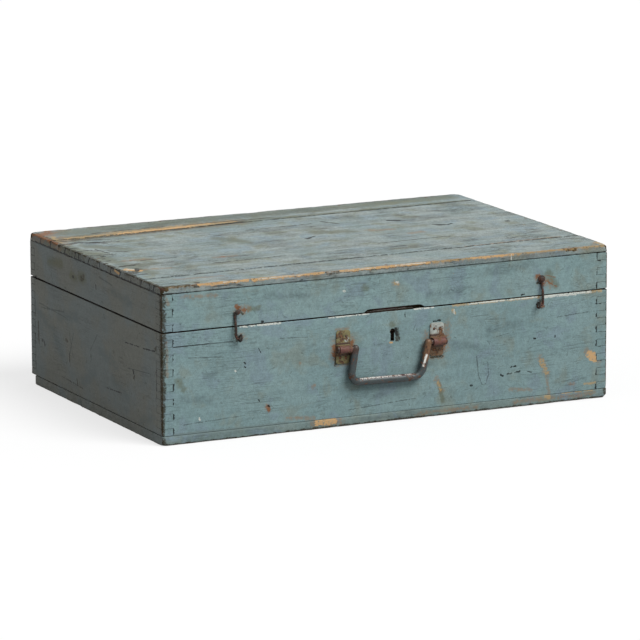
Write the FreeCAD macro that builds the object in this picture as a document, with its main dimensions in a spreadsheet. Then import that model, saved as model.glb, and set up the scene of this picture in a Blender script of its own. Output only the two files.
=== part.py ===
import FreeCAD, Part
import math
import os
import re
import Sketcher
from FreeCAD import Placement, Rotation, Vector

# A carpenter's tool chest: a shallow box with finger-jointed corners, a hinged
# lid, a bail handle in two strap mounts, two wire hooks and a box lock.
#
# Frame: X along the front, Y towards the back, Z up. The origin is the middle
# of the underside. All sizes are in millimetres.

DRIVING = {
    # boards
    "chest_width": 660.0,
    "chest_depth": 436.0,
    "wall": 16.0,
    "base_height": 137.2,
    "lid_height": 50.2,
    "bottom_board": 13.3,
    "top_board": 10.0,
    "base_divisions": 14,
    "lid_divisions": 5,
    "bottom_setback": 14.0,
    "bottom_front_width": 205.0,
    "bottom_middle_width": 58.0,
    "top_front_left": 62.0,
    "top_front_right": 78.0,
    "top_back_left": 72.0,
    "top_back_right": 56.0,
    # nails in the boards
    "nail_radius": 1.1,
    "nail_head_radius": 2.3,
    "nail_head": 1.0,
    "nail_hold": 20.0,
    "nail_fit": 0.05,
    "lid_nail_pitch": 137.5,
    "lid_end_nail_pitch": 100.0,
    "bottom_nail_pitch": 150.0,
    "bottom_nail_inset": 45.0,
    # keyhole and finger notch
    "lock_across": 5.0,
    "keyhole_drop": 28.5,
    "keyhole_radius": 3.8,
    "keyhole_slot": 5.4,
    "keyhole_reach": 13.0,
    "notch_across": 8.0,
    "notch_width": 90.0,
    "notch_rise": 4.3,
    "notch_end_radius": 12.0,
    "notch_depth": 6.5,
    # handle and its mounts
    "handle_across": 1.0,
    "handle_drop": 45.8,
    "handle_tilt": 1.0,
    "mount_spacing": 138.8,
    "mount_width": 20.4,
    "mount_above": 24.5,
    "mount_below": 20.3,
    "mount_corner": 2.5,
    "strap": 1.6,
    "bridge_width": 17.5,
    "pivot_standoff": 7.2,
    "pivot_radius": 3.5,
    "pivot_fit": 0.1,
    "pivot_end_radius": 4.8,
    "pivot_end_length": 2.6,
    "pivot_side_play": 0.4,
    "rod_radius": 5.2,
    "grip_drop": 45.3,
    "left_arm_top": 54.2,
    "left_arm_foot": 61.2,
    "right_arm_top": 53.4,
    "right_arm_foot": 44.2,
    "left_foot_bend": 12.0,
    "right_foot_bend": 16.0,
    "mount_nail_across": 8.5,
    "mount_nail_above": 16.5,
    "mount_nail_below": 12.0,
    "mount_nail_radius": 1.0,
    "mount_nail_head_radius": 2.0,
    "mount_nail_head": 0.9,
    "mount_nail_length": 13.0,
    # hooks and their eyes
    "left_hook_inset": 108.0,
    "right_hook_inset": 102.0,
    "left_hook_rise": 19.0,
    "right_hook_rise": 22.6,
    "left_leg_set": 1.0,
    "right_leg_set": 0.1,
    "hook_wire_radius": 1.6,
    "hook_eye_radius": 3.6,
    "hook_standoff": 0.3,
    "hook_drop": 34.8,
    "hook_tip": 3.8,
    "hook_joggle_start": 9.0,
    "hook_joggle_end": 18.0,
    "hook_joggle_bend": 9.0,
    "hook_bend": 2.4,
    "hook_fit": 0.1,
    "hook_screw_head_radius": 3.5,
    "hook_screw_head": 1.8,
    "hook_screw_radius": 1.6,
    "hook_screw_length": 13.0,
    "eye_inset": 6.2,
    "eye_ring_radius": 3.9,
    "eye_wire_radius": 1.3,
    "eye_standoff": 5.7,
    "eye_lean": 14.0,
    "eye_shank_length": 12.0,
    "shank_fit": 0.05,
    # lock
    "lock_sheet": 2.0,
    "lock_case_width": 52.0,
    "lock_case_height": 43.0,
    "lock_case_depth": 8.0,
    "lock_case_wall": 1.5,
    "lock_plate_width": 68.0,
    "lock_plate_height": 47.0,
    "selvedge_width": 9.0,
    "plate_relief": 0.1,
    "lock_fit": 0.1,
    "bolt_thickness": 2.4,
    "bolt_nose": 4.0,
    "bolt_travel": 7.0,
    "bolt_back": 16.0,
    "bolt_rest_gap": 1.15,
    "bolt_step": 12.0,
    "bolt_depth": 18.2,
    "talon_width": 7.0,
    "talon_depth": 4.0,
    "stump_radius": 1.35,
    "stump_fit": 0.05,
    "stump_spacing": 10.0,
    "stump_across": 1.0,
    "drill_pin_radius": 1.5,
    "lug_across": 5.0,
    "lug_sheet": 2.5,
    "lug_width": 4.6,
    "lug_drop": 9.5,
    "lug_play": 0.35,
    "link_width": 50.0,
    "screw_radius": 1.3,
    "screw_head_radius": 2.6,
    "screw_head": 1.4,
    "screw_length": 10.0,
    "screw_fit": 0.1,
    "plate_screw_inset": 4.0,
    # hinges
    "hinge_inset": 110.0,
    "hinge_length": 64.0,
    "hinge_leaf": 1.6,
    "hinge_leaf_width": 14.0,
    "hinge_leaf_gap": 0.2,
    "knuckle_count": 5,
    "knuckle_radius": 3.6,
    "knuckle_gap": 0.4,
    "knuckle_relief": 0.35,
    "hinge_pin_radius": 1.6,
    "hinge_pin_fit": 0.06,
    "hinge_screw_pitch": 22.0,
    "hinge_screw_length": 13.0,
}

DERIVED = {
    "half_width": "chest_width / 2",
    "half_depth": "chest_depth / 2",
    "inner_half_width": "half_width - wall",
    "inner_half_depth": "half_depth - wall",
    "joint_line": "bottom_board + base_height",
    "lid_top": "joint_line + lid_height",
    "bottom_seam_one": "bottom_front_width - half_depth",
    "bottom_seam_two": "bottom_seam_one + bottom_middle_width",
    "bottom_rear": "half_depth - bottom_setback",
    "nail_hole": "nail_radius + nail_fit",
    "nail_head_hole": "nail_head_radius + nail_fit",
    "keyhole_height": "base_height - keyhole_drop",
    "notch_end_reach": "sqrt(notch_rise * (2 * notch_end_radius - notch_rise))",
    "notch_flat": "notch_width - 2 * notch_end_reach",
    "handle_height": "joint_line - handle_drop",
    "tilt_cos": "cos(handle_tilt * 1deg)",
    "tilt_sin": "sin(handle_tilt * 1deg)",
    "half_spacing": "mount_spacing / 2",
    "bridge_hole": "pivot_radius + pivot_fit",
    "bridge_radius": "bridge_hole + strap",
    "pivot_end": "half_spacing + bridge_width / 2 + pivot_side_play",
    "mount_nail_hole": "mount_nail_radius + nail_fit",
    "left_hook_across": "left_hook_inset - half_width",
    "right_hook_across": "half_width - right_hook_inset",
    "left_hook_height": "joint_line + left_hook_rise",
    "right_hook_height": "joint_line + right_hook_rise",
    "left_hook_leg": "-left_leg_set * hook_eye_radius",
    "right_hook_leg": "right_leg_set * hook_eye_radius",
    "hook_layer": "hook_standoff + hook_wire_radius",
    "hook_screw_neck": "2 * (hook_standoff + hook_wire_radius)",
    "hook_neck_radius": "hook_eye_radius - hook_wire_radius - hook_fit",
    "case_low": "lock_sheet + plate_relief + lock_case_height",
    "case_outer_wall": "lock_sheet + lock_case_depth",
    "case_mid": "lock_sheet + (lock_case_depth - lock_case_wall) / 2",
    "bolt_top": "lock_sheet + lock_case_wall + lug_play",
    "lug_face": "lug_across - lug_sheet / 2",
    "lug_eye": "bolt_thickness + 2 * lug_play",
    "bolt_tip": "lug_face - bolt_rest_gap",
    "bolt_neck": "lug_face - bolt_travel - lug_play",
    "bolt_shelf": "lug_drop + 2 * lug_play",
    "stump_drop": "(bolt_shelf + bolt_top + bolt_depth - talon_depth) / 2",
    "talon_left": "-(bolt_travel + talon_width) / 2",
    "stump_hole": "stump_radius + stump_fit",
    "screw_hole": "screw_radius + nail_fit",
    "screw_countersink": "screw_head_radius + screw_fit",
    "hinge_axis_y": "half_depth + knuckle_radius + knuckle_relief",
    "knuckle_length": "hinge_length / knuckle_count",
    "leaf_reach": "knuckle_radius + knuckle_relief + hinge_leaf_width",
    "leaf_recess": "hinge_leaf + hinge_leaf_gap / 2",
    "half_hinge_spacing": "half_width - hinge_inset",
}

PLANES = {"XY": "XY_Plane", "XZ": "XZ_Plane", "YZ": "YZ_Plane"}
ENDS = ((-1, "left"), (1, "right"))
ALONG_X = Rotation(Vector(0, 1, 0), 90)
ALONG_Y = Rotation(Vector(1, 0, 0), -90)
UPRIGHT = Rotation()

doc = FreeCAD.newDocument("carpenters_tool_chest")
sheet = doc.addObject("Spreadsheet::Sheet", "Sizes")
parts = []


def fill_sheet():
    """Write every driving size as a number and every derived size as a formula."""
    for row, (alias, size) in enumerate(DRIVING.items(), start=1):
        sheet.set("A%d" % row, alias)
        sheet.set("B%d" % row, str(size))
        sheet.setAlias("B%d" % row, alias)
    for row, (alias, formula) in enumerate(DERIVED.items(), start=1):
        sheet.set("D%d" % row, alias)
        sheet.set("E%d" % row, "=" + formula)
        sheet.setAlias("E%d" % row, alias)
    doc.recompute()


def in_sheet(formula):
    """Point each size named in a formula at its cell."""
    def cell(word):
        return "Sizes." + word[0] if word[0] in DRIVING or word[0] in DERIVED else word[0]
    return re.sub(r"[a-z_]+", cell, str(formula))


def size(formula):
    """Return the number that a formula comes to."""
    return float(sheet.evalExpression(in_sheet(formula)))


def bind(thing, formulas):
    """Bind each named property of an object to a formula."""
    for name, formula in formulas.items():
        thing.setExpression(name, in_sheet(formula))


def place(thing, point, turn=UPRIGHT):
    """Turn an object and bind its position to three formulas."""
    thing.Placement = Placement(Vector(), turn)
    bind(thing, {"Placement.Base." + axis: formula for axis, formula in zip("xyz", point)})


def finish(thing):
    """Keep an object as one of the chest's parts."""
    parts.append(thing)
    return thing


def new_body(label):
    """Start a body whose label is the part's name."""
    body = doc.addObject("PartDesign::Body", label)
    body.Label = label
    return body


def origin_feature(body, role):
    """Return one of a body's own origin planes or axes."""
    return [item for item in body.Origin.OriginFeatures if item.Role == role][0]


def polygon(body, plane, name, corners):
    """Sketch a closed polygon on an origin plane, each corner set by two formulas."""
    sketch = body.newObject("Sketcher::SketchObject", name)
    sketch.AttachmentSupport = [(origin_feature(body, PLANES[plane]), "")]
    sketch.MapMode = "FlatFace"
    spots = [(size(across), size(up)) for across, up in corners]
    count = len(corners)
    for index, spot in enumerate(spots):
        following = spots[(index + 1) % count]
        sketch.addGeometry(Part.LineSegment(Vector(*spot, 0), Vector(*following, 0)), False)
    for index in range(count):
        sketch.addConstraint(Sketcher.Constraint("Coincident", index, 2, (index + 1) % count, 1))
    for index, (spot, corner) in enumerate(zip(spots, corners)):
        for direction, number, formula in zip(("DistanceX", "DistanceY"), spot, corner):
            held = sketch.addConstraint(Sketcher.Constraint(direction, -1, 1, index, 1, number))
            sketch.setExpression("Constraints[%d]" % held, in_sheet(formula))
    return sketch


def rectangle(left, low, right, high):
    """Return the corners of a rectangle."""
    return [(left, low), (right, low), (right, high), (left, high)]


def pad(body, sketch, length, symmetric=False):
    """Pad a sketch along its normal, or half to each side."""
    feature = body.newObject("PartDesign::Pad", sketch.Name + "_pad")
    feature.Profile = sketch
    feature.SideType = "Symmetric" if symmetric else "One side"
    bind(feature, {"Length": length})
    doc.recompute()
    return feature


def pocket(body, sketch, side):
    """Cut a sketch right through the body, and make sure that it removed something."""
    before = body.Shape.Volume
    feature = body.newObject("PartDesign::Pocket", sketch.Name + "_pocket")
    feature.Profile = sketch
    feature.Type = "ThroughAll"
    feature.SideType = "Symmetric" if side == "both" else "One side"
    feature.Reversed = side == "along normal"
    doc.recompute()
    if not body.Shape.Volume < before:
        raise RuntimeError(feature.Name + " removes nothing")
    return feature


def box(body, kind, name, point, lengths):
    """Add or cut a box with its low corner at a point."""
    feature = body.newObject("PartDesign::%sBox" % kind, name)
    bind(feature, dict(zip(("Length", "Width", "Height"), lengths)))
    place(feature, point)
    return feature


def cylinder(body, kind, name, point, turn, radius, length):
    """Add or cut a cylinder that starts at a point and runs along its turned Z axis."""
    feature = body.newObject("PartDesign::%sCylinder" % kind, name)
    bind(feature, {"Radius": radius, "Height": length})
    place(feature, point, turn)
    return feature


def cone(body, name, point, turn, wide, narrow, length):
    """Cut a countersink that starts wide at a point."""
    feature = body.newObject("PartDesign::SubtractiveCone", name)
    bind(feature, {"Radius1": wide, "Radius2": narrow, "Height": length})
    place(feature, point, turn)
    return feature


def countersunk(body, name, point, turn, through):
    """Cut a screw hole through a plate and its countersink, entering at a point."""
    cylinder(body, "Subtractive", name + "_hole", point, turn, "screw_hole + screw_fit", through)
    cone(body, name + "_sink", point, turn, "screw_countersink", "screw_hole", "screw_head")


# --- boards -----------------------------------------------------------------

# A side board is modelled upright: centred on X, its foot at z = 0 and its
# inner face at y = 0, with the outer face towards -Y. Each side of the chest
# turns it about Z and moves it out by half the inside size.
SIDES = {
    "front": (0, ("0", "-inner_half_depth")),
    "back": (180, ("0", "inner_half_depth")),
    "left": (-90, ("-inner_half_width", "0")),
    "right": (90, ("inner_half_width", "0")),
}


def finger_board(label, side, length, height, divisions, foot, foot_is_finger):
    """Make a side board with box-joint fingers at both ends."""
    body = new_body(label)
    half = "%s / 2" % length
    outline = polygon(body, "XZ", label + "_face", rectangle("-" + half, "0", half, height))
    pad(body, outline, "wall")
    pitch = "%s / %s" % (height, divisions)
    first = 1 if foot_is_finger else 0
    low, high = "%d * %s" % (first, pitch), "%d * %s" % (first + 1, pitch)
    left = rectangle("-" + half, low, "wall - " + half, high)
    right = rectangle(half + " - wall", low, half, high)
    copies = "%s(%s / 2)" % ("floor" if foot_is_finger else "ceil", divisions)
    for end, corners in (("left", left), ("right", right)):
        notch = pocket(body, polygon(body, "XZ", "%s_%s_notch" % (label, end), corners), "along normal")
        row = body.newObject("PartDesign::LinearPattern", "%s_%s_notches" % (label, end))
        row.Originals = [notch]
        row.Direction = (origin_feature(body, "Z_Axis"), [""])
        bind(row, {"Occurrences": copies, "Length": "2 * %s * (%s - 1)" % (pitch, copies)})
        body.Tip = row
        doc.recompute()
    angle, (across, back) = SIDES[side]
    place(body, (across, back, foot), Rotation(Vector(0, 0, 1), angle))
    return finish(body)


def side_boards():
    """Make the eight side boards of base and lid, and return them by name."""
    boards = {}
    for side in SIDES:
        long_side = side in ("front", "back")
        length = "chest_width" if long_side else "chest_depth"
        label = "base_%s_board" % side
        boards[label] = finger_board(
            label, side, length, "base_height", "base_divisions", "bottom_board", not long_side)
        label = "lid_%s_rail" % side
        boards[label] = finger_board(
            label, side, length, "lid_height", "lid_divisions", "joint_line", not long_side)
    return boards


def flat_board(label, corners, thickness, foot):
    """Make a lengthwise board of the bottom or the top from its plan."""
    body = new_body(label)
    pad(body, polygon(body, "XY", label + "_plan", corners), thickness)
    place(body, ("0", "0", foot))
    return finish(body)


def strip(near_left, near_right, far_right, far_left):
    """Return the plan of a lengthwise board from its four edges' Y places."""
    return [("-half_width", near_left), ("half_width", near_right),
            ("half_width", far_right), ("-half_width", far_left)]


def bottom_boards():
    """Make the three bottom boards, which stop short of the back."""
    edges = {
        "front": ("-half_depth", "bottom_seam_one"),
        "middle": ("bottom_seam_one", "bottom_seam_two"),
        "back": ("bottom_seam_two", "bottom_rear"),
    }
    return {name: flat_board("bottom_%s_board" % name, strip(near, near, far, far), "bottom_board", "0")
            for name, (near, far) in edges.items()}


def top_boards():
    """Make the three tapering boards of the lid's top."""
    front_left, front_right = "top_front_left - half_depth", "top_front_right - half_depth"
    back_left, back_right = "half_depth - top_back_left", "half_depth - top_back_right"
    edges = {
        "front": ("-half_depth", "-half_depth", front_right, front_left),
        "middle": (front_left, front_right, back_right, back_left),
        "back": (back_left, back_right, "half_depth", "half_depth"),
    }
    return {name: flat_board("top_%s_board" % name, strip(*plan), "top_board", "lid_top")
            for name, plan in edges.items()}


# --- fasteners --------------------------------------------------------------

def turned_form(label, profile, dome=None):
    """Make the form of a fastener: (radius, depth) pairs revolved about a line down from z = 0.

    dome is the height and radius of a rounded head that stands on the form.
    """
    body = new_body(label + "_form")
    corners = [(radius, "-(%s)" % depth) for radius, depth in profile]
    feature = body.newObject("PartDesign::Revolution", label + "_turned")
    feature.Profile = polygon(body, "XZ", label + "_profile", corners)
    feature.ReferenceAxis = (origin_feature(body, "Z_Axis"), [""])
    body.Tip = feature
    if dome:
        head = body.newObject("PartDesign::AdditiveEllipsoid", label + "_dome")
        head.Angle1 = 0
        bind(head, {"Radius1": dome[0], "Radius2": dome[1]})
        place(head, ("0", "0", "-(%s)" % profile[0][1]))
    doc.recompute()
    return body


def fastener_group(label, form, spots, turn):
    """Keep one fastener's form copied to every spot, as separate solids of one part."""
    copies = []
    for spot in spots:
        copy = form.Shape.copy()
        copy.Placement = Placement(Vector(*[size(formula) for formula in spot]), turn)
        copies.append(copy)
    group = doc.addObject("Part::Feature", label)
    group.Label = label
    group.Shape = Part.makeCompound(copies)
    group.Placement = Placement()
    return finish(group)


def nail_profile(length):
    """Return a flat-headed nail's profile, its head's top at depth 0."""
    return [("0", "0"), ("nail_head_radius", "0"), ("nail_head_radius", "nail_head"),
            ("nail_radius", "nail_head"), ("nail_radius", length + " - 2 * nail_radius"), ("0", length)]


def screw_profile(length):
    """Return a countersunk screw's profile, its head's top at depth 0."""
    return [("0", "0"), ("screw_head_radius", "0"), ("screw_radius", "screw_head"),
            ("screw_radius", length + " - 2 * screw_radius"), ("0", length)]


def over_board(side, along):
    """Return the plan place of a point on the middle of a side board's edge."""
    angle, _ = SIDES[side]
    turned = "-(%s)" % along if angle in (180, -90) else along
    return {
        "front": (along, "wall / 2 - half_depth"),
        "back": (turned, "half_depth - wall / 2"),
        "left": ("wall / 2 - half_width", turned),
        "right": ("half_width - wall / 2", along),
    }[side]


def lid_nails():
    """Return each lid nail as the top board it goes through, its side and its place along it."""
    nails = [(side, side, "%d * lid_nail_pitch" % step)
             for side in ("front", "back") for step in range(-2, 3)]
    return nails + [("middle", side, "%d * lid_end_nail_pitch" % step)
                    for _, side in ENDS for step in (-1, 0, 1)]


def bottom_nails():
    """Return each bottom nail as the board it goes through, its side and its place along it."""
    nails = [("front", "front", "%s * bottom_nail_pitch" % step) for step in (-1.5, -0.5, 0.5, 1.5)]
    rows = [("front", "bottom_nail_inset - half_depth"), ("front", "bottom_seam_one - bottom_nail_inset"),
            ("middle", "(bottom_seam_one + bottom_seam_two) / 2"),
            ("back", "bottom_seam_two + bottom_nail_inset"), ("back", "bottom_rear - bottom_nail_inset")]
    for plank, row in rows:
        nails += [(plank, "left", "-(%s)" % row), (plank, "right", row)]
    return nails


def nail_hole(body, name, point, depth, seat=None):
    """Bore a nail's hole up from a point, and a seat for its head from another."""
    cylinder(body, "Subtractive", name, point, UPRIGHT, "nail_hole", depth)
    if seat:
        cylinder(body, "Subtractive", name + "_seat", seat, UPRIGHT, "nail_head_hole", "nail_head")


def nail_the_lid(boards, tops):
    """Bore the lid's top boards and rails and drive the nails that hold them."""
    spots = []
    for number, (plank, side, along) in enumerate(lid_nails()):
        across, back = over_board(side, along)
        name = "top_nail_%d" % number
        seat = (across, back, "top_board - nail_head")
        nail_hole(tops[plank], name, (across, back, "0"), "top_board", seat)
        nail_hole(boards["lid_%s_rail" % side], name,
                  (along, "-wall / 2", "lid_height - nail_hold - nail_fit"), "nail_hold + nail_fit")
        spots.append((across, back, "lid_top + top_board"))
    form = turned_form("lid_nail", nail_profile("(top_board + nail_hold)"))
    fastener_group("lid_nails", form, spots, UPRIGHT)


def nail_the_bottom(boards, bottoms):
    """Bore the bottom and side boards and drive the nails that hold the bottom."""
    spots = []
    for number, (plank, side, along) in enumerate(bottom_nails()):
        across, back = over_board(side, along)
        name = "bottom_nail_%d" % number
        nail_hole(bottoms[plank], name, (across, back, "0"), "bottom_board", (across, back, "0"))
        nail_hole(boards["base_%s_board" % side], name, (along, "-wall / 2", "0"), "nail_hold + nail_fit")
        spots.append((across, back, "0"))
    form = turned_form("bottom_nail", nail_profile("(bottom_board + nail_hold)"))
    fastener_group("bottom_nails", form, spots, Rotation(Vector(1, 0, 0), 180))


# --- wire forms -------------------------------------------------------------

def rod(start, end, radius):
    """Return a round rod from one point to another."""
    return Part.makeCylinder(radius, (end - start).Length, start, end - start)


def bent_wire(points, bends, radius):
    """Build a round wire of straight runs joined by tangent bends."""
    pieces = []
    start = points[0]
    for corner, following, bend in zip(points[1:], points[2:], bends):
        inward = (corner - start).normalize()
        outward = (following - corner).normalize()
        half_turn = inward.getAngle(outward) / 2
        setback = bend * math.tan(half_turn)
        first = corner - inward * setback
        to_centre = (outward - inward).normalize()
        centre = corner + to_centre * (bend / math.cos(half_turn))
        section = Part.Face(Part.Wire(Part.makeCircle(radius, first, inward)))
        pieces.append(rod(start, first, radius))
        pieces.append(section.revolve(centre, inward.cross(outward), math.degrees(2 * half_turn)))
        start = corner + outward * setback
    pieces.append(rod(start, points[-1], radius))
    return pieces[0].fuse(pieces[1:])


def formed(label, shape, placement):
    """Keep a shape made with Part's own functions as one of the chest's parts."""
    thing = doc.addObject("Part::Feature", label)
    thing.Label = label
    thing.Shape = shape.removeSplitter().Solids[0]
    thing.Placement = placement
    return finish(thing)


# --- handle -----------------------------------------------------------------

# The handle is drawn about the middle of its pivot line, on the face of the
# front board: X along the pivots, Y into the board. The whole handle is
# fixed slightly out of level.
ON_FACE = ("handle_across", "-half_depth", "handle_height")


def tilted(across, up):
    """Return the place on the front that a point of the level handle tilts to."""
    return ("handle_across + (%s) * tilt_cos + (%s) * tilt_sin" % (across, up),
            "handle_height - (%s) * tilt_sin + (%s) * tilt_cos" % (across, up))


def mount_nail_spots():
    """Return the places of one mount's nails, measured from its pivot."""
    return [("%d * mount_nail_across / 2" % column, row)
            for column, _ in ENDS for row in ("mount_nail_above", "-mount_nail_below")]


def handle_mount(label, side):
    """Make a strap mount: a plate with a bridge bent out of it over the pivot."""
    body = new_body(label)
    left, right = "-mount_width / 2", "mount_width / 2"
    inner_left, inner_right = "mount_corner - mount_width / 2", "mount_width / 2 - mount_corner"
    inner_low, inner_high = "mount_corner - mount_below", "mount_above - mount_corner"
    outline = polygon(body, "XZ", label + "_plate", [
        (left, inner_low), (inner_left, "-mount_below"), (inner_right, "-mount_below"), (right, inner_low),
        (right, inner_high), (inner_right, "mount_above"), (inner_left, "mount_above"), (left, inner_high)])
    pad(body, outline, "strap")
    over = ("-bridge_width / 2", "-pivot_standoff", "0")
    box(body, "Additive", label + "_bridge_sides",
        ("-bridge_width / 2", "-pivot_standoff", "-bridge_radius"),
        ("bridge_width", "pivot_standoff", "2 * bridge_radius"))
    cylinder(body, "Additive", label + "_bridge", over, ALONG_X, "bridge_radius", "bridge_width")
    box(body, "Subtractive", label + "_throat", ("-mount_width", "-pivot_standoff", "-bridge_hole"),
        ("2 * mount_width", "pivot_standoff", "2 * bridge_hole"))
    cylinder(body, "Subtractive", label + "_eye", ("-mount_width", "-pivot_standoff", "0"), ALONG_X,
             "bridge_hole", "2 * mount_width")
    for number, (column, row) in enumerate(mount_nail_spots()):
        cylinder(body, "Subtractive", "%s_nail_%d" % (label, number), (column, "-strap", row), ALONG_Y,
                 "mount_nail_hole", "strap")
    across, up = tilted("%d * half_spacing" % side, "0")
    place(body, (across, "-half_depth", up), Rotation(Vector(0, 1, 0), size("handle_tilt")))
    return finish(body)


def handle_mounts(front_board):
    """Make both mounts and the nails that hold them to the front board."""
    spots = []
    for side, name in ENDS:
        handle_mount("handle_mount_" + name, side)
        for number, (column, row) in enumerate(mount_nail_spots()):
            across, up = tilted("%d * half_spacing + %s" % (side, column), row)
            hold = (across, "-wall", "(%s) - bottom_board" % up)
            cylinder(front_board, "Subtractive", "%s_mount_nail_%d" % (name, number), hold, ALONG_Y,
                     "mount_nail_hole", "mount_nail_length - strap + nail_fit")
            spots.append((across, "-half_depth - strap", up))
    profile = [("0", "0"), ("mount_nail_radius", "0"),
               ("mount_nail_radius", "mount_nail_length - 2 * mount_nail_radius"),
               ("0", "mount_nail_length")]
    form = turned_form("handle_nail", profile, ("mount_nail_head", "mount_nail_head_radius"))
    fastener_group("handle_nails", form, spots, Rotation(Vector(1, 0, 0), 90))


def bail():
    """Make the bail: a bent rod with domed tops and thinner pivots headed over outside."""
    radius, drop = size("rod_radius"), -size("grip_drop")
    left_top, left_foot = Vector(-size("left_arm_top"), 0, 0), Vector(-size("left_arm_foot"), 0, drop)
    right_top, right_foot = Vector(size("right_arm_top"), 0, 0), Vector(size("right_arm_foot"), 0, drop)
    bends = [size("left_foot_bend"), size("right_foot_bend")]
    shape = bent_wire([left_top, left_foot, right_foot, right_top], bends, radius)
    for top, foot in ((left_top, left_foot), (right_top, right_foot)):
        side = Vector(math.copysign(1, top.x), 0, 0)
        outer = side * size("pivot_end")
        dome = Part.makeSphere(radius, top, top - foot, 0, 90, 360)
        tip = outer + side * size("pivot_end_length")
        pivot = rod(top, outer, size("pivot_radius"))
        shape = shape.fuse([dome, pivot, rod(outer, tip, size("pivot_end_radius"))])
    spot = Vector(*[size(formula) for formula in ON_FACE]) - Vector(0, size("pivot_standoff"), 0)
    return formed("bail_handle", shape, Placement(spot, Rotation(Vector(0, 1, 0), size("handle_tilt"))))


# --- hooks ------------------------------------------------------------------

def wire_hook(side, name):
    """Make a hook: a closed eye, a joggled leg from its rim and a tip turned inwards."""
    wire, eye, leg = size("hook_wire_radius"), size("hook_eye_radius"), size(name + "_hook_leg")
    layer, deep = -size("hook_layer"), -size("eye_standoff")
    rim, drop, joggle_bend = -math.sqrt(eye ** 2 - leg ** 2), -size("hook_drop"), size("hook_joggle_bend")
    points = [Vector(leg, layer, rim), Vector(leg, layer, -size("hook_joggle_start")),
              Vector(leg, deep, -size("hook_joggle_end")), Vector(leg, deep, drop),
              Vector(leg - side * size("hook_tip"), deep, drop)]
    shape = bent_wire(points, [joggle_bend, joggle_bend, size("hook_bend")], wire)
    ring = Part.makeTorus(eye, wire, Vector(0, layer, 0), Vector(0, 1, 0))
    spot = Vector(size(name + "_hook_across"), -size("half_depth"), size(name + "_hook_height"))
    return formed("hook_" + name, shape.fuse(ring), Placement(spot, Rotation()))


def hook_eye(side, name, front_board):
    """Make a screw eye on the base, leaning as it was left, and bore its hole."""
    label = "hook_eye_" + name
    standoff, ring_radius = size("eye_standoff"), size("eye_ring_radius")
    ring = Part.makeTorus(ring_radius, size("eye_wire_radius"), Vector(0, -standoff, 0), Vector(1, 0, 0))
    root = Vector(0, ring_radius - standoff, 0)
    tip = Vector(0, size("eye_shank_length"), 0)
    across = "%s_hook_across + %s_hook_leg - %d * eye_inset" % (name, name, side)
    up = "%s_hook_height - hook_drop" % name
    spot = Vector(size(across), -size("half_depth"), size(up))
    lean = Rotation(Vector(0, 1, 0), size("eye_lean"))
    formed(label, ring.fuse(rod(root, tip, size("eye_wire_radius"))), Placement(spot, lean))
    cylinder(front_board, "Subtractive", label + "_hole", (across, "-wall", up + " - bottom_board"),
             ALONG_Y, "eye_wire_radius + shank_fit", "eye_shank_length + shank_fit")


def hooks(front_board, front_rail):
    """Make both hooks, the screws that they hang on and the eyes that they catch."""
    spots = []
    for side, name in ENDS:
        wire_hook(side, name)
        hook_eye(side, name, front_board)
        across, height = name + "_hook_across", name + "_hook_height"
        hold = (across, "-wall", height + " - joint_line")
        cylinder(front_rail, "Subtractive", "hook_screw_hole_" + name, hold, ALONG_Y,
                 "hook_screw_radius + shank_fit", "hook_screw_length + shank_fit")
        spots.append((across, "-half_depth", height))
    profile = [("0", "-hook_screw_neck"), ("hook_neck_radius", "-hook_screw_neck"),
               ("hook_neck_radius", "0"), ("hook_screw_radius", "0"),
               ("hook_screw_radius", "hook_screw_length - 2 * hook_screw_radius"),
               ("0", "hook_screw_length")]
    form = turned_form("hook_screw", profile, ("hook_screw_head", "hook_screw_head_radius"))
    fastener_group("hook_screws", form, spots, Rotation(Vector(1, 0, 0), 90))


# --- lock -------------------------------------------------------------------

# The lock is drawn about the middle of its selvedge: X along the front, y = 0
# on the inner face of the boards and z = 0 on the joint between base and lid.
AT_LOCK = ("lock_across", "-inner_half_depth", "joint_line")


def keyhole(body, name, outer, depth, centre):
    """Cut a keyhole: a round top and a slot below it, from a Y place inwards."""
    across, up = centre
    cylinder(body, "Subtractive", name + "_round", (across, outer, up), ALONG_Y, "keyhole_radius", depth)
    box(body, "Subtractive", name + "_slot",
        (across + " - keyhole_slot / 2", outer, up + " - keyhole_reach"),
        ("keyhole_slot", depth, "keyhole_reach"))


def lock_mortise(front_board):
    """Let the lock into the front board from inside, with its keyhole and screw holes."""
    case_left = "lock_across - lock_case_width / 2 - lock_fit"
    plate_left = "lock_across - lock_plate_width / 2 - lock_fit"
    plate_span = "lock_plate_width + 2 * lock_fit"
    box(front_board, "Subtractive", "case_mortise",
        (case_left, "-case_outer_wall - lock_fit", "base_height - case_low - lock_fit"),
        ("lock_case_width + 2 * lock_fit", "case_outer_wall + lock_fit", "lock_case_height + lock_fit"))
    box(front_board, "Subtractive", "plate_recess",
        (plate_left, "-lock_sheet", "base_height - lock_plate_height - lock_fit"),
        (plate_span, "lock_sheet", "lock_plate_height + lock_fit"))
    box(front_board, "Subtractive", "selvedge_recess",
        (plate_left, "-selvedge_width - lock_fit", "base_height - lock_sheet - plate_relief"),
        (plate_span, "selvedge_width + lock_fit", "lock_sheet + plate_relief"))
    keyhole(front_board, "keyhole", "-wall", "wall", ("lock_across", "keyhole_height"))


def plate_screw_spots():
    """Return the places of the back plate's screws, measured from the lock's own point."""
    reach = "(lock_plate_width / 2 - plate_screw_inset)"
    rows = ("-2 * plate_screw_inset", "plate_screw_inset - lock_plate_height")
    return [("%d * %s" % (side, reach), row) for side, _ in ENDS for row in rows]


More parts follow.
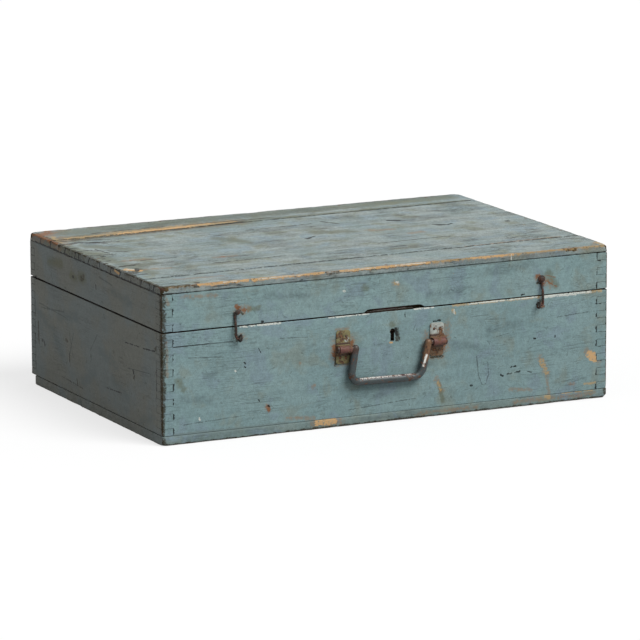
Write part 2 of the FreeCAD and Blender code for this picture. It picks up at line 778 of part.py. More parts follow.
def lock_plate(front_board):
    """Make the lock's back plate and selvedge, bent from one sheet, and return its screw."""
    body = new_body("lock_plate")
    profile = polygon(body, "YZ", "lock_plate_bend", [
        ("0", "-plate_relief"), ("-selvedge_width", "-plate_relief"),
        ("-selvedge_width", "-lock_sheet - plate_relief"), ("-lock_sheet", "-lock_sheet - plate_relief"),
        ("-lock_sheet", "-lock_plate_height"), ("0", "-lock_plate_height")])
    pad(body, profile, "lock_plate_width", symmetric=True)
    box(body, "Subtractive", "lug_slot",
        ("lug_face - lug_play", "-case_mid - lug_width / 2 - lug_play", "-2 * lock_sheet"),
        ("lug_sheet + 2 * lug_play", "lug_width + 2 * lug_play", "2 * lock_sheet"))
    inward = Rotation(Vector(1, 0, 0), 90)
    spots = []
    for number, (across, up) in enumerate(plate_screw_spots()):
        countersunk(body, "plate_screw_%d" % number, (across, "0", up), inward, "lock_sheet")
        cylinder(front_board, "Subtractive", "plate_screw_hold_%d" % number,
                 ("lock_across + " + across, "0", "base_height + " + up), inward,
                 "screw_hole", "screw_length + nail_fit")
        spots.append(("lock_across + " + across, "-inner_half_depth", "joint_line + " + up))
    cylinder(body, "Subtractive", "drill_pin_hole", ("0", "0", "-keyhole_drop"), inward,
             "drill_pin_radius + stump_fit", "lock_sheet")
    place(body, AT_LOCK)
    finish(body)
    form = turned_form("lock_screw", screw_profile("screw_length"))
    fastener_group("lock_screws", form, spots, Rotation(Vector(1, 0, 0), -90))
    return form


def lock_case():
    """Make the lock's case, open to the back plate, with the two stumps that carry the bolt."""
    body = new_body("lock_case")
    wall, depth = "lock_case_wall", "lock_case_depth"
    box(body, "Additive", "case_block", ("-lock_case_width / 2", "-case_outer_wall", "-case_low"),
        ("lock_case_width", depth, "lock_case_height"))
    box(body, "Subtractive", "case_hollow",
        (wall + " - lock_case_width / 2", wall + " - case_outer_wall", wall + " - case_low"),
        ("lock_case_width - 2 * " + wall, depth, "lock_case_height - 2 * " + wall))
    box(body, "Subtractive", "case_lug_slot",
        ("lug_face - lug_play", "-case_mid - lug_width / 2 - lug_play",
         "-lock_sheet - 2 * " + wall),
        ("lug_sheet + 2 * lug_play", "lug_width + 2 * lug_play", "2 * " + wall))
    keyhole(body, "case_keyhole", "-case_outer_wall", wall, ("0", "-keyhole_drop"))
    for side, name in ENDS:
        foot = ("stump_across + %d * stump_spacing / 2" % side, wall + " / 2 - case_outer_wall",
                "-stump_drop")
        cylinder(body, "Additive", "stump_" + name, foot, ALONG_Y, "stump_radius",
                 "%s - %s / 2" % (depth, wall))
    place(body, AT_LOCK)
    return finish(body)


def lock_bolt():
    """Make the bolt, which slides on the stumps and passes through the link plate's lug."""
    body = new_body("lock_bolt")
    outline = polygon(body, "XZ", "bolt_outline", [
        ("-bolt_back", "-bolt_top"), ("bolt_tip", "-bolt_top"), ("bolt_tip", "-bolt_top - bolt_nose"),
        ("bolt_neck", "-bolt_top - bolt_nose"), ("bolt_neck", "-bolt_shelf"), ("bolt_step", "-bolt_shelf"),
        ("bolt_step", "-bolt_top - bolt_depth"), ("talon_left + talon_width", "-bolt_top - bolt_depth"),
        ("talon_left + talon_width", "talon_depth - bolt_top - bolt_depth"),
        ("talon_left", "talon_depth - bolt_top - bolt_depth"),
        ("talon_left", "-bolt_top - bolt_depth"), ("-bolt_back", "-bolt_top - bolt_depth")])
    pad(body, outline, "bolt_thickness", symmetric=True)
    slot_left = "stump_across - stump_spacing / 2 - bolt_travel - stump_hole - lug_play"
    slot_right = "stump_across + stump_spacing / 2 + stump_hole + lug_play"
    pocket(body, polygon(body, "XZ", "stump_slot", rectangle(
        slot_left, "-stump_drop - stump_hole", slot_right, "-stump_drop + stump_hole")), "both")
    across, back, up = AT_LOCK
    place(body, (across, back + " - case_mid", up))
    return finish(body)


def lock_parts(front_board, front_rail):
    """Make the lock in the base and the link plate that it holds down on the lid."""
    lock_mortise(front_board)
    screw = lock_plate(front_board)
    lock_case()
    lock_bolt()
    pin = doc.addObject("Part::Cylinder", "lock_drill_pin")
    bind(pin, {"Radius": "drill_pin_radius", "Height": "case_outer_wall - lock_fit"})
    across, back, up = AT_LOCK
    place(pin, (across, back, up + " - keyhole_drop"), Rotation(Vector(1, 0, 0), 90))
    finish(pin)
    link_plate(front_rail, screw)


def link_plate(front_rail, screw):
    """Make the lid's link plate, let into the rail and screwed to it, and its staple."""
    body = new_body("lock_link_plate")
    box(body, "Additive", "link_sheet", ("-link_width / 2", "-selvedge_width", "plate_relief"),
        ("link_width", "selvedge_width", "lock_sheet"))
    box(body, "Subtractive", "staple_slot", ("lug_face", "-case_mid - lug_width / 2", "0"),
        ("lug_sheet", "lug_width", "lock_sheet + plate_relief"))
    spots = []
    for side, name in ENDS:
        spot = ("%d * (link_width / 2 - plate_screw_inset)" % side, "-selvedge_width / 2", "plate_relief")
        countersunk(body, "link_screw_" + name, spot, UPRIGHT, "lock_sheet")
        across, back, up = spot
        hold = ("lock_across + " + across, back, up)
        cylinder(front_rail, "Subtractive", "link_screw_hold_" + name, hold, UPRIGHT,
                 "screw_hole", "screw_length + nail_fit")
        spots.append(("lock_across + " + across, "-inner_half_depth " + back, "joint_line + " + up))
    place(body, AT_LOCK)
    finish(body)
    box(front_rail, "Subtractive", "link_recess",
        ("lock_across - link_width / 2 - lock_fit", "-selvedge_width - lock_fit", "0"),
        ("link_width + 2 * lock_fit", "selvedge_width + lock_fit", "lock_sheet + plate_relief"))
    fastener_group("lock_link_screws", screw, spots, Rotation(Vector(1, 0, 0), 180))
    link_staple()


def link_staple():
    """Make the staple riveted into the link plate, whose eye the bolt slides through."""
    body = new_body("lock_link_staple")
    box(body, "Additive", "staple", ("lug_face", "-case_mid - lug_width / 2", "-lug_drop"),
        ("lug_sheet", "lug_width", "lug_drop + lock_sheet + plate_relief"))
    box(body, "Subtractive", "staple_eye",
        ("lug_across - lug_sheet", "-case_mid - lug_eye / 2", "-bolt_top - bolt_nose - lug_play"),
        ("2 * lug_sheet", "lug_eye", "bolt_nose + 2 * lug_play"))
    place(body, AT_LOCK)
    finish(body)


def finger_notch(front_rail):
    """Cut the finger notch into the lid's front rail: flat above and rounded at both ends."""
    for side, name in ENDS:
        end = ("notch_across + %d * notch_flat / 2" % side, "-wall", "notch_rise - notch_end_radius")
        cylinder(front_rail, "Subtractive", "finger_notch_" + name, end, ALONG_Y,
                 "notch_end_radius", "notch_depth")
    box(front_rail, "Subtractive", "finger_notch", ("notch_across - notch_flat / 2", "-wall", "0"),
        ("notch_flat", "notch_depth", "notch_rise"))


# --- hinges -----------------------------------------------------------------

def hinge_leaf(label, side, up):
    """Make a leaf: a plate let into the joint with its knuckles about the pin.

    up is 1 for the lid's leaf and -1 for the base's. The base's leaf has the
    first knuckle, and then the two leaves take turns along the pin.
    """
    body = new_body(label)
    foot = "hinge_leaf_gap / 2" if up > 0 else "-leaf_recess"
    box(body, "Additive", label + "_sheet", ("-hinge_length / 2", "-leaf_reach", foot),
        ("hinge_length", "leaf_reach", "hinge_leaf"))
    places = range(int(size("knuckle_count")))
    own = [place for place in places if place % 2 == (1 if up > 0 else 0)]
    for place_along in [item for item in places if item not in own]:
        start = ("%d * knuckle_length - hinge_length / 2" % place_along, "0", "0")
        cylinder(body, "Subtractive", "%s_space_%d" % (label, place_along), start, ALONG_X,
                 "knuckle_radius + knuckle_relief", "knuckle_length")
    for place_along in own:
        first = "knuckle_gap / 2" if place_along > places[0] else "0"
        last = "knuckle_gap / 2" if place_along < places[-1] else "0"
        start = ("%d * knuckle_length - hinge_length / 2 + %s" % (place_along, first), "0", "0")
        cylinder(body, "Additive", "%s_knuckle_%d" % (label, place_along), start, ALONG_X,
                 "knuckle_radius", "knuckle_length - %s - %s" % (first, last))
    cylinder(body, "Subtractive", label + "_bore", ("-hinge_length", "0", "0"), ALONG_X,
             "hinge_pin_radius + hinge_pin_fit", "2 * hinge_length")
    for step in (-1, 0, 1):
        spot = ("%d * hinge_screw_pitch" % step, "hinge_leaf_width / 2 - leaf_reach",
                "hinge_leaf_gap / 2" if up > 0 else "-hinge_leaf_gap / 2")
        turn = UPRIGHT if up > 0 else Rotation(Vector(1, 0, 0), 180)
        countersunk(body, "%s_screw_%d" % (label, step + 1), spot, turn, "hinge_leaf")
    place(body, ("%d * half_hinge_spacing" % side, "hinge_axis_y", "joint_line"))
    return finish(body)


def hinges(back_board, back_rail):
    """Make both butt hinges, let them into the boards and screw them down."""
    base_spots, lid_spots = [], []
    for side, name in ENDS:
        hinge_leaf("hinge_%s_base_leaf" % name, side, -1)
        hinge_leaf("hinge_%s_lid_leaf" % name, side, 1)
        pin = doc.addObject("Part::Cylinder", "hinge_%s_pin" % name)
        bind(pin, {"Radius": "hinge_pin_radius", "Height": "hinge_length"})
        start = "%d * half_hinge_spacing - hinge_length / 2" % side
        place(pin, (start, "hinge_axis_y", "joint_line"), ALONG_X)
        finish(pin)
        # the back board is turned round, so its own X runs the other way
        left = "%d * half_hinge_spacing - hinge_length / 2 - lock_fit" % -side
        span = ("hinge_length + 2 * lock_fit", "hinge_leaf_width + lock_fit", "leaf_recess")
        low = "base_height - leaf_recess"
        box(back_board, "Subtractive", name + "_leaf_recess", (left, "-wall", low), span)
        box(back_rail, "Subtractive", name + "_leaf_recess_lid", (left, "-wall", "0"), span)
        for step in (-1, 0, 1):
            across = "%d * half_hinge_spacing + %d * hinge_screw_pitch" % (side, step)
            row = "hinge_leaf_width / 2 - wall"
            cylinder(back_board, "Subtractive", "%s_leaf_screw_%d" % (name, step + 1),
                     ("-(%s)" % across, row, "base_height - hinge_screw_length"), UPRIGHT,
                     "screw_hole", "hinge_screw_length")
            cylinder(back_rail, "Subtractive", "%s_lid_leaf_screw_%d" % (name, step + 1),
                     ("-(%s)" % across, row, "0"), UPRIGHT, "screw_hole", "hinge_screw_length")
            line = "half_depth - hinge_leaf_width / 2"
            base_spots.append((across, line, "joint_line - hinge_leaf_gap / 2"))
            lid_spots.append((across, line, "joint_line + hinge_leaf_gap / 2"))
    form = turned_form("hinge_screw", screw_profile("(hinge_screw_length - hinge_leaf_gap)"))
    fastener_group("hinge_base_screws", form, base_spots, UPRIGHT)
    fastener_group("hinge_lid_screws", form, lid_spots, Rotation(Vector(1, 0, 0), 180))


def export(folder):
    """Check every object and every part, then write each part's STEP file."""
    faults = [item.Name for item in doc.Objects if "Invalid" in item.State or "Error" in item.State]
    faults += [part.Label for part in parts if part.Shape.isNull() or not part.Shape.isValid()]
    if faults:
        raise RuntimeError("failed objects: " + ", ".join(faults))
    os.makedirs(folder, exist_ok=True)
    for part in parts:
        part.Shape.exportStep("%s/%s.step" % (folder, part.Label))
        print("%-24s %2d solid(s) %12.1f mm3" % (part.Label, len(part.Shape.Solids), part.Shape.Volume))


fill_sheet()
boards = side_boards()
bottoms = bottom_boards()
tops = top_boards()
nail_the_lid(boards, tops)
nail_the_bottom(boards, bottoms)
handle_mounts(boards["base_front_board"])
bail()
hooks(boards["base_front_board"], boards["lid_front_rail"])
lock_parts(boards["base_front_board"], boards["lid_front_rail"])
finger_notch(boards["lid_front_rail"])
hinges(boards["base_back_board"], boards["lid_back_rail"])
doc.recompute()
export("parts")
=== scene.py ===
"""A painted pine tool chest: its worn boards, bail handle, wire hooks, box lock and hinges.

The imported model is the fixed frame. Each wooden board is a refined copy of its CAD node,
with rounded arrises, joint lines and wear; wrought parts are remeshed copies; small
fasteners and lock parts stay as CAD nodes with their own finish. Sizes inside shaders
and in the tables of marks are millimetres in the chest's own frame: X along its length,
Y from front to back and Z up from the floor.
"""

import logging
import math
from dataclasses import dataclass
from enum import Enum
from typing import Callable, Dict, List, Optional, Sequence, Tuple, Union

import bpy
from mathutils import Matrix, Vector, noise


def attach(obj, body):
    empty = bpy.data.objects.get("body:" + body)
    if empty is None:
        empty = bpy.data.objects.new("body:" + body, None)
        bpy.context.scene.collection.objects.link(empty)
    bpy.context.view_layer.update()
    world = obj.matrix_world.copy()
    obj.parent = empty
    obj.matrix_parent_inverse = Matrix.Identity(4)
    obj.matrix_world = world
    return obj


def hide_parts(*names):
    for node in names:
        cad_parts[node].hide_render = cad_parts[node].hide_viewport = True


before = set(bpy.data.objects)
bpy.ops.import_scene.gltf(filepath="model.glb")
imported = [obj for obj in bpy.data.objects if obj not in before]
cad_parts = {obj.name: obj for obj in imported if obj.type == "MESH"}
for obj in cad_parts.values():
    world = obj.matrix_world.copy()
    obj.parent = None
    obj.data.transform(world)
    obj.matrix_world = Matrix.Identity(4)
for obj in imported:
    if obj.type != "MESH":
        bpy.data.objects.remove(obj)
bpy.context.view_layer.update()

LOG = logging.getLogger("tool_chest")
MM = 1000.0
FAR = 1.0e5
SEAM = "seam"

Colour = Tuple[float, float, float]
Point = Tuple[float, float, float]
Span = Tuple[float, float]
# Two places on a face, half the width and how far the outline wanders, in mm.
Stroke = Tuple[float, float, float, float, float, float]
Socket = bpy.types.NodeSocket
Value = Union[float, Sequence[float], Socket]
Test = Callable[[Vector], bool]
Amount = Callable[[Vector], float]


# ------------------------ outer form


@dataclass(frozen=True)
class Shell:
    """The chest's outer planes, which the paint and the wear are measured from.

    Args:
        half_width: Half the length along X, in mm.
        half_depth: Half the depth along Y, in mm.
        top: Height of the upper face, in mm.
        joint: Height of the joint between base and lid, in mm.
        deck: Height of the joint between the lid's rails and its top boards, in mm.
        foot: Thickness of the bottom boards, in mm.
    """

    half_width: float = 330.0
    half_depth: float = 218.0
    top: float = 210.7
    joint: float = 150.5
    deck: float = 200.7
    foot: float = 13.3


SHELL = Shell()


class Side(Enum):
    """Which outer faces a board shows, as the low and high corners to measure from."""

    WALLS = ((-SHELL.half_width, -SHELL.half_depth, -FAR),
             (SHELL.half_width, SHELL.half_depth, FAR))
    TOP = ((-SHELL.half_width, -SHELL.half_depth, -FAR),
           (SHELL.half_width, SHELL.half_depth, SHELL.top))
    BOTTOM = ((-SHELL.half_width, -SHELL.half_depth, 0.0),
              (SHELL.half_width, SHELL.half_depth, FAR))


class Grain(Enum):
    """The direction in which a board's grain runs, as the stretch of its pattern."""

    LENGTHWISE = (0.022, 1.0, 1.0)
    CROSSWISE = (1.0, 0.022, 1.0)


class Trace(Enum):
    """What one mark in the paint is."""

    CRACK = "crack"
    BARE = "bare"
    RUST = "rust"
    PALE = "pale"
    STAIN = "stain"
    LINE = "line"
    SCUFF = "scuff"
    HALO = "halo"
    TAN = "tan"
    DIRT = "dirt"
    FILLED = "filled"


@dataclass(frozen=True)
class Mark:
    """One mark in a painted face: a stroke from start to end, or a spot where they meet.

    Args:
        kind: What the mark is.
        start: First end, in mm.
        end: Other end, in mm.
        width: Half the width of the stroke, in mm.
        ragged: How far its outline wanders, in mm.
    """

    kind: Trace
    start: Point
    end: Point
    width: float
    ragged: float


class Face(Enum):
    """A painted face, as the axis that it stands across and its place on it, in mm."""

    FRONT = (1, -SHELL.half_depth)
    REAR = (1, SHELL.half_depth)
    LEFT = (0, -SHELL.half_width)
    RIGHT = (0, SHELL.half_width)
    UPPER = (2, SHELL.top)

    def point(self, first: float, second: float) -> Point:
        """The point at two places along the face's own two axes, in mm.

        Args:
            first: The place along the first axis, in mm.
            second: The place along the second axis, in mm.

        Returns:
            The point.
        """
        axis, place = self.value
        spot = [first, second]
        spot.insert(axis, place)
        return spot[0], spot[1], spot[2]

    def mark(self, kind: Trace, first0: float, second0: float, first1: float, second1: float,
             width: float, ragged: float) -> Mark:
        """One mark, from where it starts and ends on the face, in mm."""
        return Mark(kind, self.point(first0, second0), self.point(first1, second1), width,
                    ragged)

    def marks(self, table: Dict[Trace, Sequence[Stroke]]) -> Tuple[Mark, ...]:
        """Make many marks.

        Args:
            table: The strokes of each kind.

        Returns:
            The marks.
        """
        return tuple(self.mark(kind, *row) for kind, rows in table.items() for row in rows)


# ------------------------ modelling bench


@dataclass(frozen=True)
class Forging:
    """How a round-sectioned piece has been worked into one surface.

    Args:
        voxel: The size of its faces, in mm.
        dents: The depth of its dents, in mm.
        pitch: The distance between them, in mm.
    """

    voxel: float
    dents: float
    pitch: float


class Bench:
    """Works one mesh at a time with Blender's own modelling tools.

    Attributes:
        weld: The distance within which a CAD mesh's loose corners are one, in metres.
        flat: The angle within which its triangles are one face, in radians.
        corner: The least angle of a sharp edge, in degrees.
        whole: The least length of the normal of a face that has any area.
        smoothing: How far a pass of smoothing moves a point, 0 to 1.
        smoothings: How many passes a forged piece gets.
        dent_level: The share of a forged surface that lies in its dents.
    """

    weld = 2.0e-6
    flat = math.radians(0.4)
    corner = 35.0
    whole = 0.5
    smoothing = 0.5
    smoothings = 4
    dent_level = 0.8

    @staticmethod
    def clear() -> None:
        """Leave edit mode and select nothing."""
        active = bpy.context.view_layer.objects.active
        if active is not None and active.mode != "OBJECT":
            bpy.ops.object.mode_set(mode="OBJECT")
        bpy.ops.object.select_all(action="DESELECT")

    @staticmethod
    def take(piece: bpy.types.Object) -> None:
        """Make one piece the only selected one, and the active one.

        Args:
            piece: The piece.
        """
        Bench.clear()
        piece.select_set(True)
        bpy.context.view_layer.objects.active = piece

    @staticmethod
    def copy_of(node: str, name: str) -> bpy.types.Object:
        """Copy a CAD node's mesh into a new piece, with its triangles joined into faces.

        Args:
            node: The CAD node.
            name: The new piece's name.

        Returns:
            The new piece, in object mode.
        """
        piece = bpy.data.objects.new(name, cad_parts[node].data.copy())
        bpy.context.scene.collection.objects.link(piece)
        piece.data.materials.clear()
        Bench.take(piece)
        bpy.ops.mesh.customdata_custom_splitnormals_clear()
        bpy.ops.object.mode_set(mode="EDIT")
        bpy.ops.mesh.select_all(action="SELECT")
        bpy.ops.mesh.remove_doubles(threshold=Bench.weld)
        bpy.ops.mesh.dissolve_limited(angle_limit=Bench.flat)
        bpy.ops.object.mode_set(mode="OBJECT")
        return piece

    @staticmethod
    def pick_edges(piece: bpy.types.Object, test: Test, sharp: float) -> int:
        """Select the sharp edges whose two ends pass a test, and enter edit mode.

        Args:
            piece: The piece to work on.
            test: Says yes to a point, in mm.
            sharp: The least angle between an edge's faces, in degrees.

        Returns:
            How many edges are selected.
        """
        Bench.take(piece)
        mesh = piece.data
        normals: Dict[Tuple[int, int], List[Vector]] = {}
        for polygon in mesh.polygons:
            polygon.select = False
            for key in polygon.edge_keys:
                normals.setdefault(key, []).append(polygon.normal.copy())
        passed = [test(vertex.co * MM) for vertex in mesh.vertices]
        for vertex in mesh.vertices:
            vertex.select = False
        count = 0
        least = math.radians(sharp)
        for edge in mesh.edges:
            one, other = edge.vertices
            around = normals.get(edge.key, [])
            edge.select = False
            if not (passed[one] and passed[other]) or len(around) != 2:
                continue
            if min(normal.length for normal in around) < Bench.whole:
                continue
            if around[0].angle(around[1]) > least:
                edge.select = True
                mesh.vertices[one].select = True
                mesh.vertices[other].select = True
                count += 1
        bpy.context.tool_settings.mesh_select_mode = (False, True, False)
        bpy.ops.object.mode_set(mode="EDIT")
        return count

    @staticmethod
    def bevel(piece: bpy.types.Object, test: Test, width: float, segments: int = 1,
              sharp: float = corner, tag: Optional[str] = None) -> None:
        """Bevel the sharp edges that pass a test.

        Args:
            piece: The piece to work on.
            test: Says yes to the ends of an edge, in mm.
            width: The bevel's width, in mm.
            segments: How many strips round it off.
            sharp: The least angle between an edge's faces, in degrees.
            tag: A face attribute that is set to 1 on the new faces.
        """
        if not Bench.pick_edges(piece, test, sharp):
            bpy.ops.object.mode_set(mode="OBJECT")
            return
        bpy.ops.mesh.bevel(offset=width / MM, offset_type="OFFSET", segments=segments,
                           profile=0.5, affect="EDGES", clamp_overlap=True)
        bpy.ops.object.mode_set(mode="OBJECT")
        if tag is not None:
            Bench.tag(piece, tag)

    @staticmethod
    def tag(piece: bpy.types.Object, name: str) -> None:
        """Set a face attribute to 1 on the selected faces, and keep it elsewhere.

        Args:
            piece: The piece.
            name: The attribute's name.
        """
        mesh = piece.data
        layer = mesh.attributes.get(name)
        if layer is None:
            layer = mesh.attributes.new(name, "FLOAT", "FACE")
        chosen = [polygon.index for polygon in mesh.polygons if polygon.select]
        for index in chosen:
            layer.data[index].value = 1.0

    @staticmethod
    def slice(piece: bpy.types.Object, axis: int, step: float) -> None:
        """Cut a piece into even slices across one axis, so that wear has points to move.

        Args:
            piece: The piece to cut.
            axis: 0, 1 or 2 for X, Y or Z.
            step: The distance between cuts, in mm.
        """
        low = min(vertex.co[axis] for vertex in piece.data.vertices) * MM
        high = max(vertex.co[axis] for vertex in piece.data.vertices) * MM
        count = max(1, round((high - low) / step))
        normal = [0.0, 0.0, 0.0]
        normal[axis] = 1.0
        Bench.take(piece)
        bpy.ops.object.mode_set(mode="EDIT")
        for index in range(1, count):
            spot = [0.0, 0.0, 0.0]
            spot[axis] = (low + (high - low) * index / count) / MM
            bpy.ops.mesh.select_all(action="SELECT")
            bpy.ops.mesh.bisect(plane_co=spot, plane_no=normal, use_fill=False)
        bpy.ops.object.mode_set(mode="OBJECT")

    @staticmethod
    def press(piece: bpy.types.Object, amount: Amount, deepest: float) -> None:
        """Press the surface in by an amount that depends on the place.

        Args:
            piece: The piece to work on.
            amount: Gives the depth in mm at a point in mm.
            deepest: The greatest depth, in mm.
        """
        Bench.take(piece)
        group = piece.vertex_groups.new(name="worn")
        for vertex in piece.data.vertices:
            share = amount(vertex.co * MM) / deepest
            if share > 0.0:
                group.add([vertex.index], min(share, 1.0), "REPLACE")
        worn = piece.modifiers.new("worn", "DISPLACE")
        worn.vertex_group = group.name
        worn.mid_level = 0.0
        worn.strength = -deepest / MM
        bpy.ops.object.modifier_apply(modifier=worn.name)
        piece.vertex_groups.remove(piece.vertex_groups["worn"])

    @staticmethod
    def shift(piece: bpy.types.Object, test: Test, move: Point) -> None:
        """Move the points that pass a test.

        Args:
            piece: The piece to work on.
            test: Says yes to a point, in mm.
            move: The move, in mm.
        """
        Bench.take(piece)
        for polygon in piece.data.polygons:
            polygon.select = False
        for edge in piece.data.edges:
            edge.select = False
        for vertex in piece.data.vertices:
            vertex.select = test(vertex.co * MM)
        bpy.context.tool_settings.mesh_select_mode = (True, False, False)
        bpy.ops.object.mode_set(mode="EDIT")
        bpy.ops.transform.translate(value=[part / MM for part in move])
        bpy.ops.object.mode_set(mode="OBJECT")

    @staticmethod
    def forge(piece: bpy.types.Object, work: Forging) -> None:
        """Turn a piece into one hand-worked surface with soft edges and small dents.

        Args:
            piece: The piece to work on.
            work: How it is worked.
        """
        Bench.take(piece)
        remesh = piece.modifiers.new("remesh", "REMESH")
        remesh.mode = "VOXEL"
        remesh.voxel_size = work.voxel / MM
        remesh.use_smooth_shade = True
        bpy.ops.object.modifier_apply(modifier=remesh.name)
        smooth = piece.modifiers.new("smooth", "SMOOTH")
        smooth.factor = Bench.smoothing
        smooth.iterations = Bench.smoothings
        bpy.ops.object.modifier_apply(modifier=smooth.name)
        clouds = bpy.data.textures.new(piece.name + "_dents", "CLOUDS")
        clouds.noise_scale = work.pitch / MM
        clouds.noise_depth = 2
        dent = piece.modifiers.new("dents", "DISPLACE")
        dent.texture = clouds
        dent.texture_coords = "LOCAL"
        dent.mid_level = Bench.dent_level
        dent.strength = work.dents / MM
        bpy.ops.object.modifier_apply(modifier=dent.name)
        bpy.data.textures.remove(clouds)

    @staticmethod
    def smooth(piece: bpy.types.Object, angle: float) -> None:
        """Shade a piece smooth across edges flatter than an angle in degrees."""
        Bench.take(piece)
        bpy.ops.object.shade_smooth_by_angle(angle=math.radians(angle))


# ------------------------ shader graphs


@dataclass(frozen=True)
class Field:
    """One noise field, whose value averages a half.

    Args:
        scale: How many swellings it has to a millimetre.
        detail: How many finer layers lie on it.
        rough: How strong each finer layer is, 0 to 1.
        twist: How much it is twisted.
    """

    scale: float
    detail: float = 2.0
    rough: float = 0.5
    twist: float = 0.0


class Graph:
    """Adds and joins the nodes of one material or node group."""

    def __init__(self, tree: bpy.types.NodeTree) -> None:
        """Start on a tree.

        Args:
            tree: The node tree to fill.
        """
        self.tree = tree

    def node(self, kind: str, **settings: object) -> bpy.types.Node:
        """Add a node and set its options.

        Args:
            kind: Its type.
            **settings: Its options.

        Returns:
            The node.
        """
        made = self.tree.nodes.new(kind)
        for name, value in settings.items():
            setattr(made, name, value)
        return made

    def put(self, socket: Socket, value: Value) -> None:
        """Give a socket a link or a constant.

        Args:
            socket: The input to fill.
            value: Another node's output, a number or a tuple.
        """
        if isinstance(value, bpy.types.NodeSocket):
            self.tree.links.new(value, socket)
        elif socket.type == "RGBA":
            socket.default_value = (*value, 1.0)
        elif socket.type == "VECTOR" and isinstance(value, (int, float)):
            socket.default_value = (value, value, value)
        else:
            socket.default_value = value

    def fill(self, node: bpy.types.Node, values: Dict[Union[int, str], Value]) -> bpy.types.Node:
        """Fill some of a node's inputs.

        Args:
            node: The node.
            values: What each input gets, by its name or number.

        Returns:
            The same node.
        """
        for name, value in values.items():
            self.put(node.inputs[name], value)
        return node

    def math(self, operation: str, *values: Value) -> Socket:
        """Add a Math node and give its output."""
        made = self.node("ShaderNodeMath", operation=operation)
        return self.fill(made, dict(enumerate(values))).outputs[0]

    def vector(self, operation: str, *values: Value) -> Socket:
        """Add a Vector Math node and give its vector or its number.

        Args:
            operation: What it does.
            *values: What its inputs get.

        Returns:
            Its output.
        """
        made = self.node("ShaderNodeVectorMath", operation=operation)
        output = "Value" if operation in ("DOT_PRODUCT", "DISTANCE") else "Vector"
        return self.fill(made, dict(enumerate(values))).outputs[output]

    def scale(self, vector: Value, share: Value) -> Socket:
        """Make a vector longer or shorter by a share."""
        made = self.node("ShaderNodeVectorMath", operation="SCALE")
        return self.fill(made, {0: vector, "Scale": share}).outputs["Vector"]

    def clamp(self, value: Value) -> Socket:
        """Keep a number between 0 and 1."""
        return self.fill(self.node("ShaderNodeClamp"), {"Value": value}).outputs["Result"]

    def step(self, value: Value, low: Value, high: Value, start: float = 0.0,
             end: float = 1.0) -> Socket:
        """Go smoothly from start to end as a value goes from low to high."""
        made = self.node("ShaderNodeMapRange", interpolation_type="SMOOTHSTEP", clamp=False)
        return self.fill(made, {"Value": value, "From Min": low, "From Max": high,
                                "To Min": start, "To Max": end}).outputs["Result"]

    def noise(self, place: Value, field: Field) -> Socket:
        """Add a noise field and give its value, which averages a half."""
        values = {"Vector": place, "Scale": field.scale, "Detail": field.detail,
                  "Roughness": field.rough, "Distortion": field.twist}
        return self.fill(self.node("ShaderNodeTexNoise"), values).outputs["Fac"]

    def within(self, value: Value, span: Span, start: float = 0.0, end: float = 1.0) -> Socket:
        """Go smoothly from start to end as a value crosses a span."""
        return self.step(value, span[0], span[1], start, end)

    def cells(self, place: Value, scale: float) -> Dict[str, Socket]:
        """Add a cell pattern and give its distance and its colour per cell."""
        made = self.fill(self.node("ShaderNodeTexVoronoi"), {"Vector": place, "Scale": scale})
        return {name: made.outputs[name] for name in ("Distance", "Color")}

    def mix(self, share: Value, one: Value, other: Value, blend: str = "MIX") -> Socket:
        """Blend one colour towards the other by a share."""
        made = self.node("ShaderNodeMix", data_type="RGBA", blend_type=blend)
        return self.fill(made, {0: share, 6: one, 7: other}).outputs[2]

    def use(self, group: bpy.types.NodeTree, **values: Value) -> Dict[str, Socket]:
        """Place a node group with its inputs and give its outputs by name."""
        made = self.fill(self.node("ShaderNodeGroup", node_tree=group), values)
        return {socket.name: socket for socket in made.outputs}

    def parts(self, vector: Value) -> Tuple[Socket, Socket, Socket]:
        """Split a vector into its three numbers."""
        made = self.fill(self.node("ShaderNodeSeparateXYZ"), {0: vector})
        return made.outputs[0], made.outputs[1], made.outputs[2]

    def bump(self, height: Value, strength: float) -> Socket:
        """Turn a height in mm into the surface's normal."""
        values = {"Height": height, "Distance": 1.0 / MM, "Strength": strength}
        return self.fill(self.node("ShaderNodeBump"), values).outputs["Normal"]

    def place(self) -> Socket:
        """The point being shaded, in mm of the piece's own frame."""
        source = self.node("ShaderNodeTexCoord")
        return self.vector("MULTIPLY", source.outputs["Object"], (MM, MM, MM))


# The noise fields of the timber's grain. All but the first and last are drawn out along it.
SWAY = Field(0.006, 1.0)
BAND = Field(0.16, 3.0, 0.55)
STRIPE = Field(0.10, 4.0, 0.62)
FINE = Field(1.1, 3.0, 0.6)
VEIN = Field(0.33)
VEINED = Field(0.02)

# The noise fields of its ageing, and of scratches that wander.
PATCH = Field(0.016, 3.0, 0.55)
TINT = Field(0.024, 3.0, 0.6, 0.4)
BLOTCH = Field(0.11, 4.0, 0.6)
FLAKE = Field(0.32, 4.0, 0.65)
DUST = Field(0.9, 3.0, 0.6)
SWIRL = Field(0.04, 2.0, 0.5, 0.7)

# The noise fields of iron and its rust.
RUST_SPREAD = Field(0.14, 3.0, 0.6, 0.6)
RUST_GRAIN = Field(0.8, 4.0, 0.65)
RUST_TONE = Field(0.45, 3.0, 0.6)
IRON_GRAIN = Field(0.9, 3.0, 0.6)

# How many cells the specks and the missing chips have to a millimetre.
DOT_CELLS = 0.075
CHIP_CELLS = 0.03

# Spans of a noise field that a tone or a mask crosses.
MIDDLE = 0.5
WIDE: Span = (0.30, 0.70)
EVEN: Span = (0.35, 0.65)


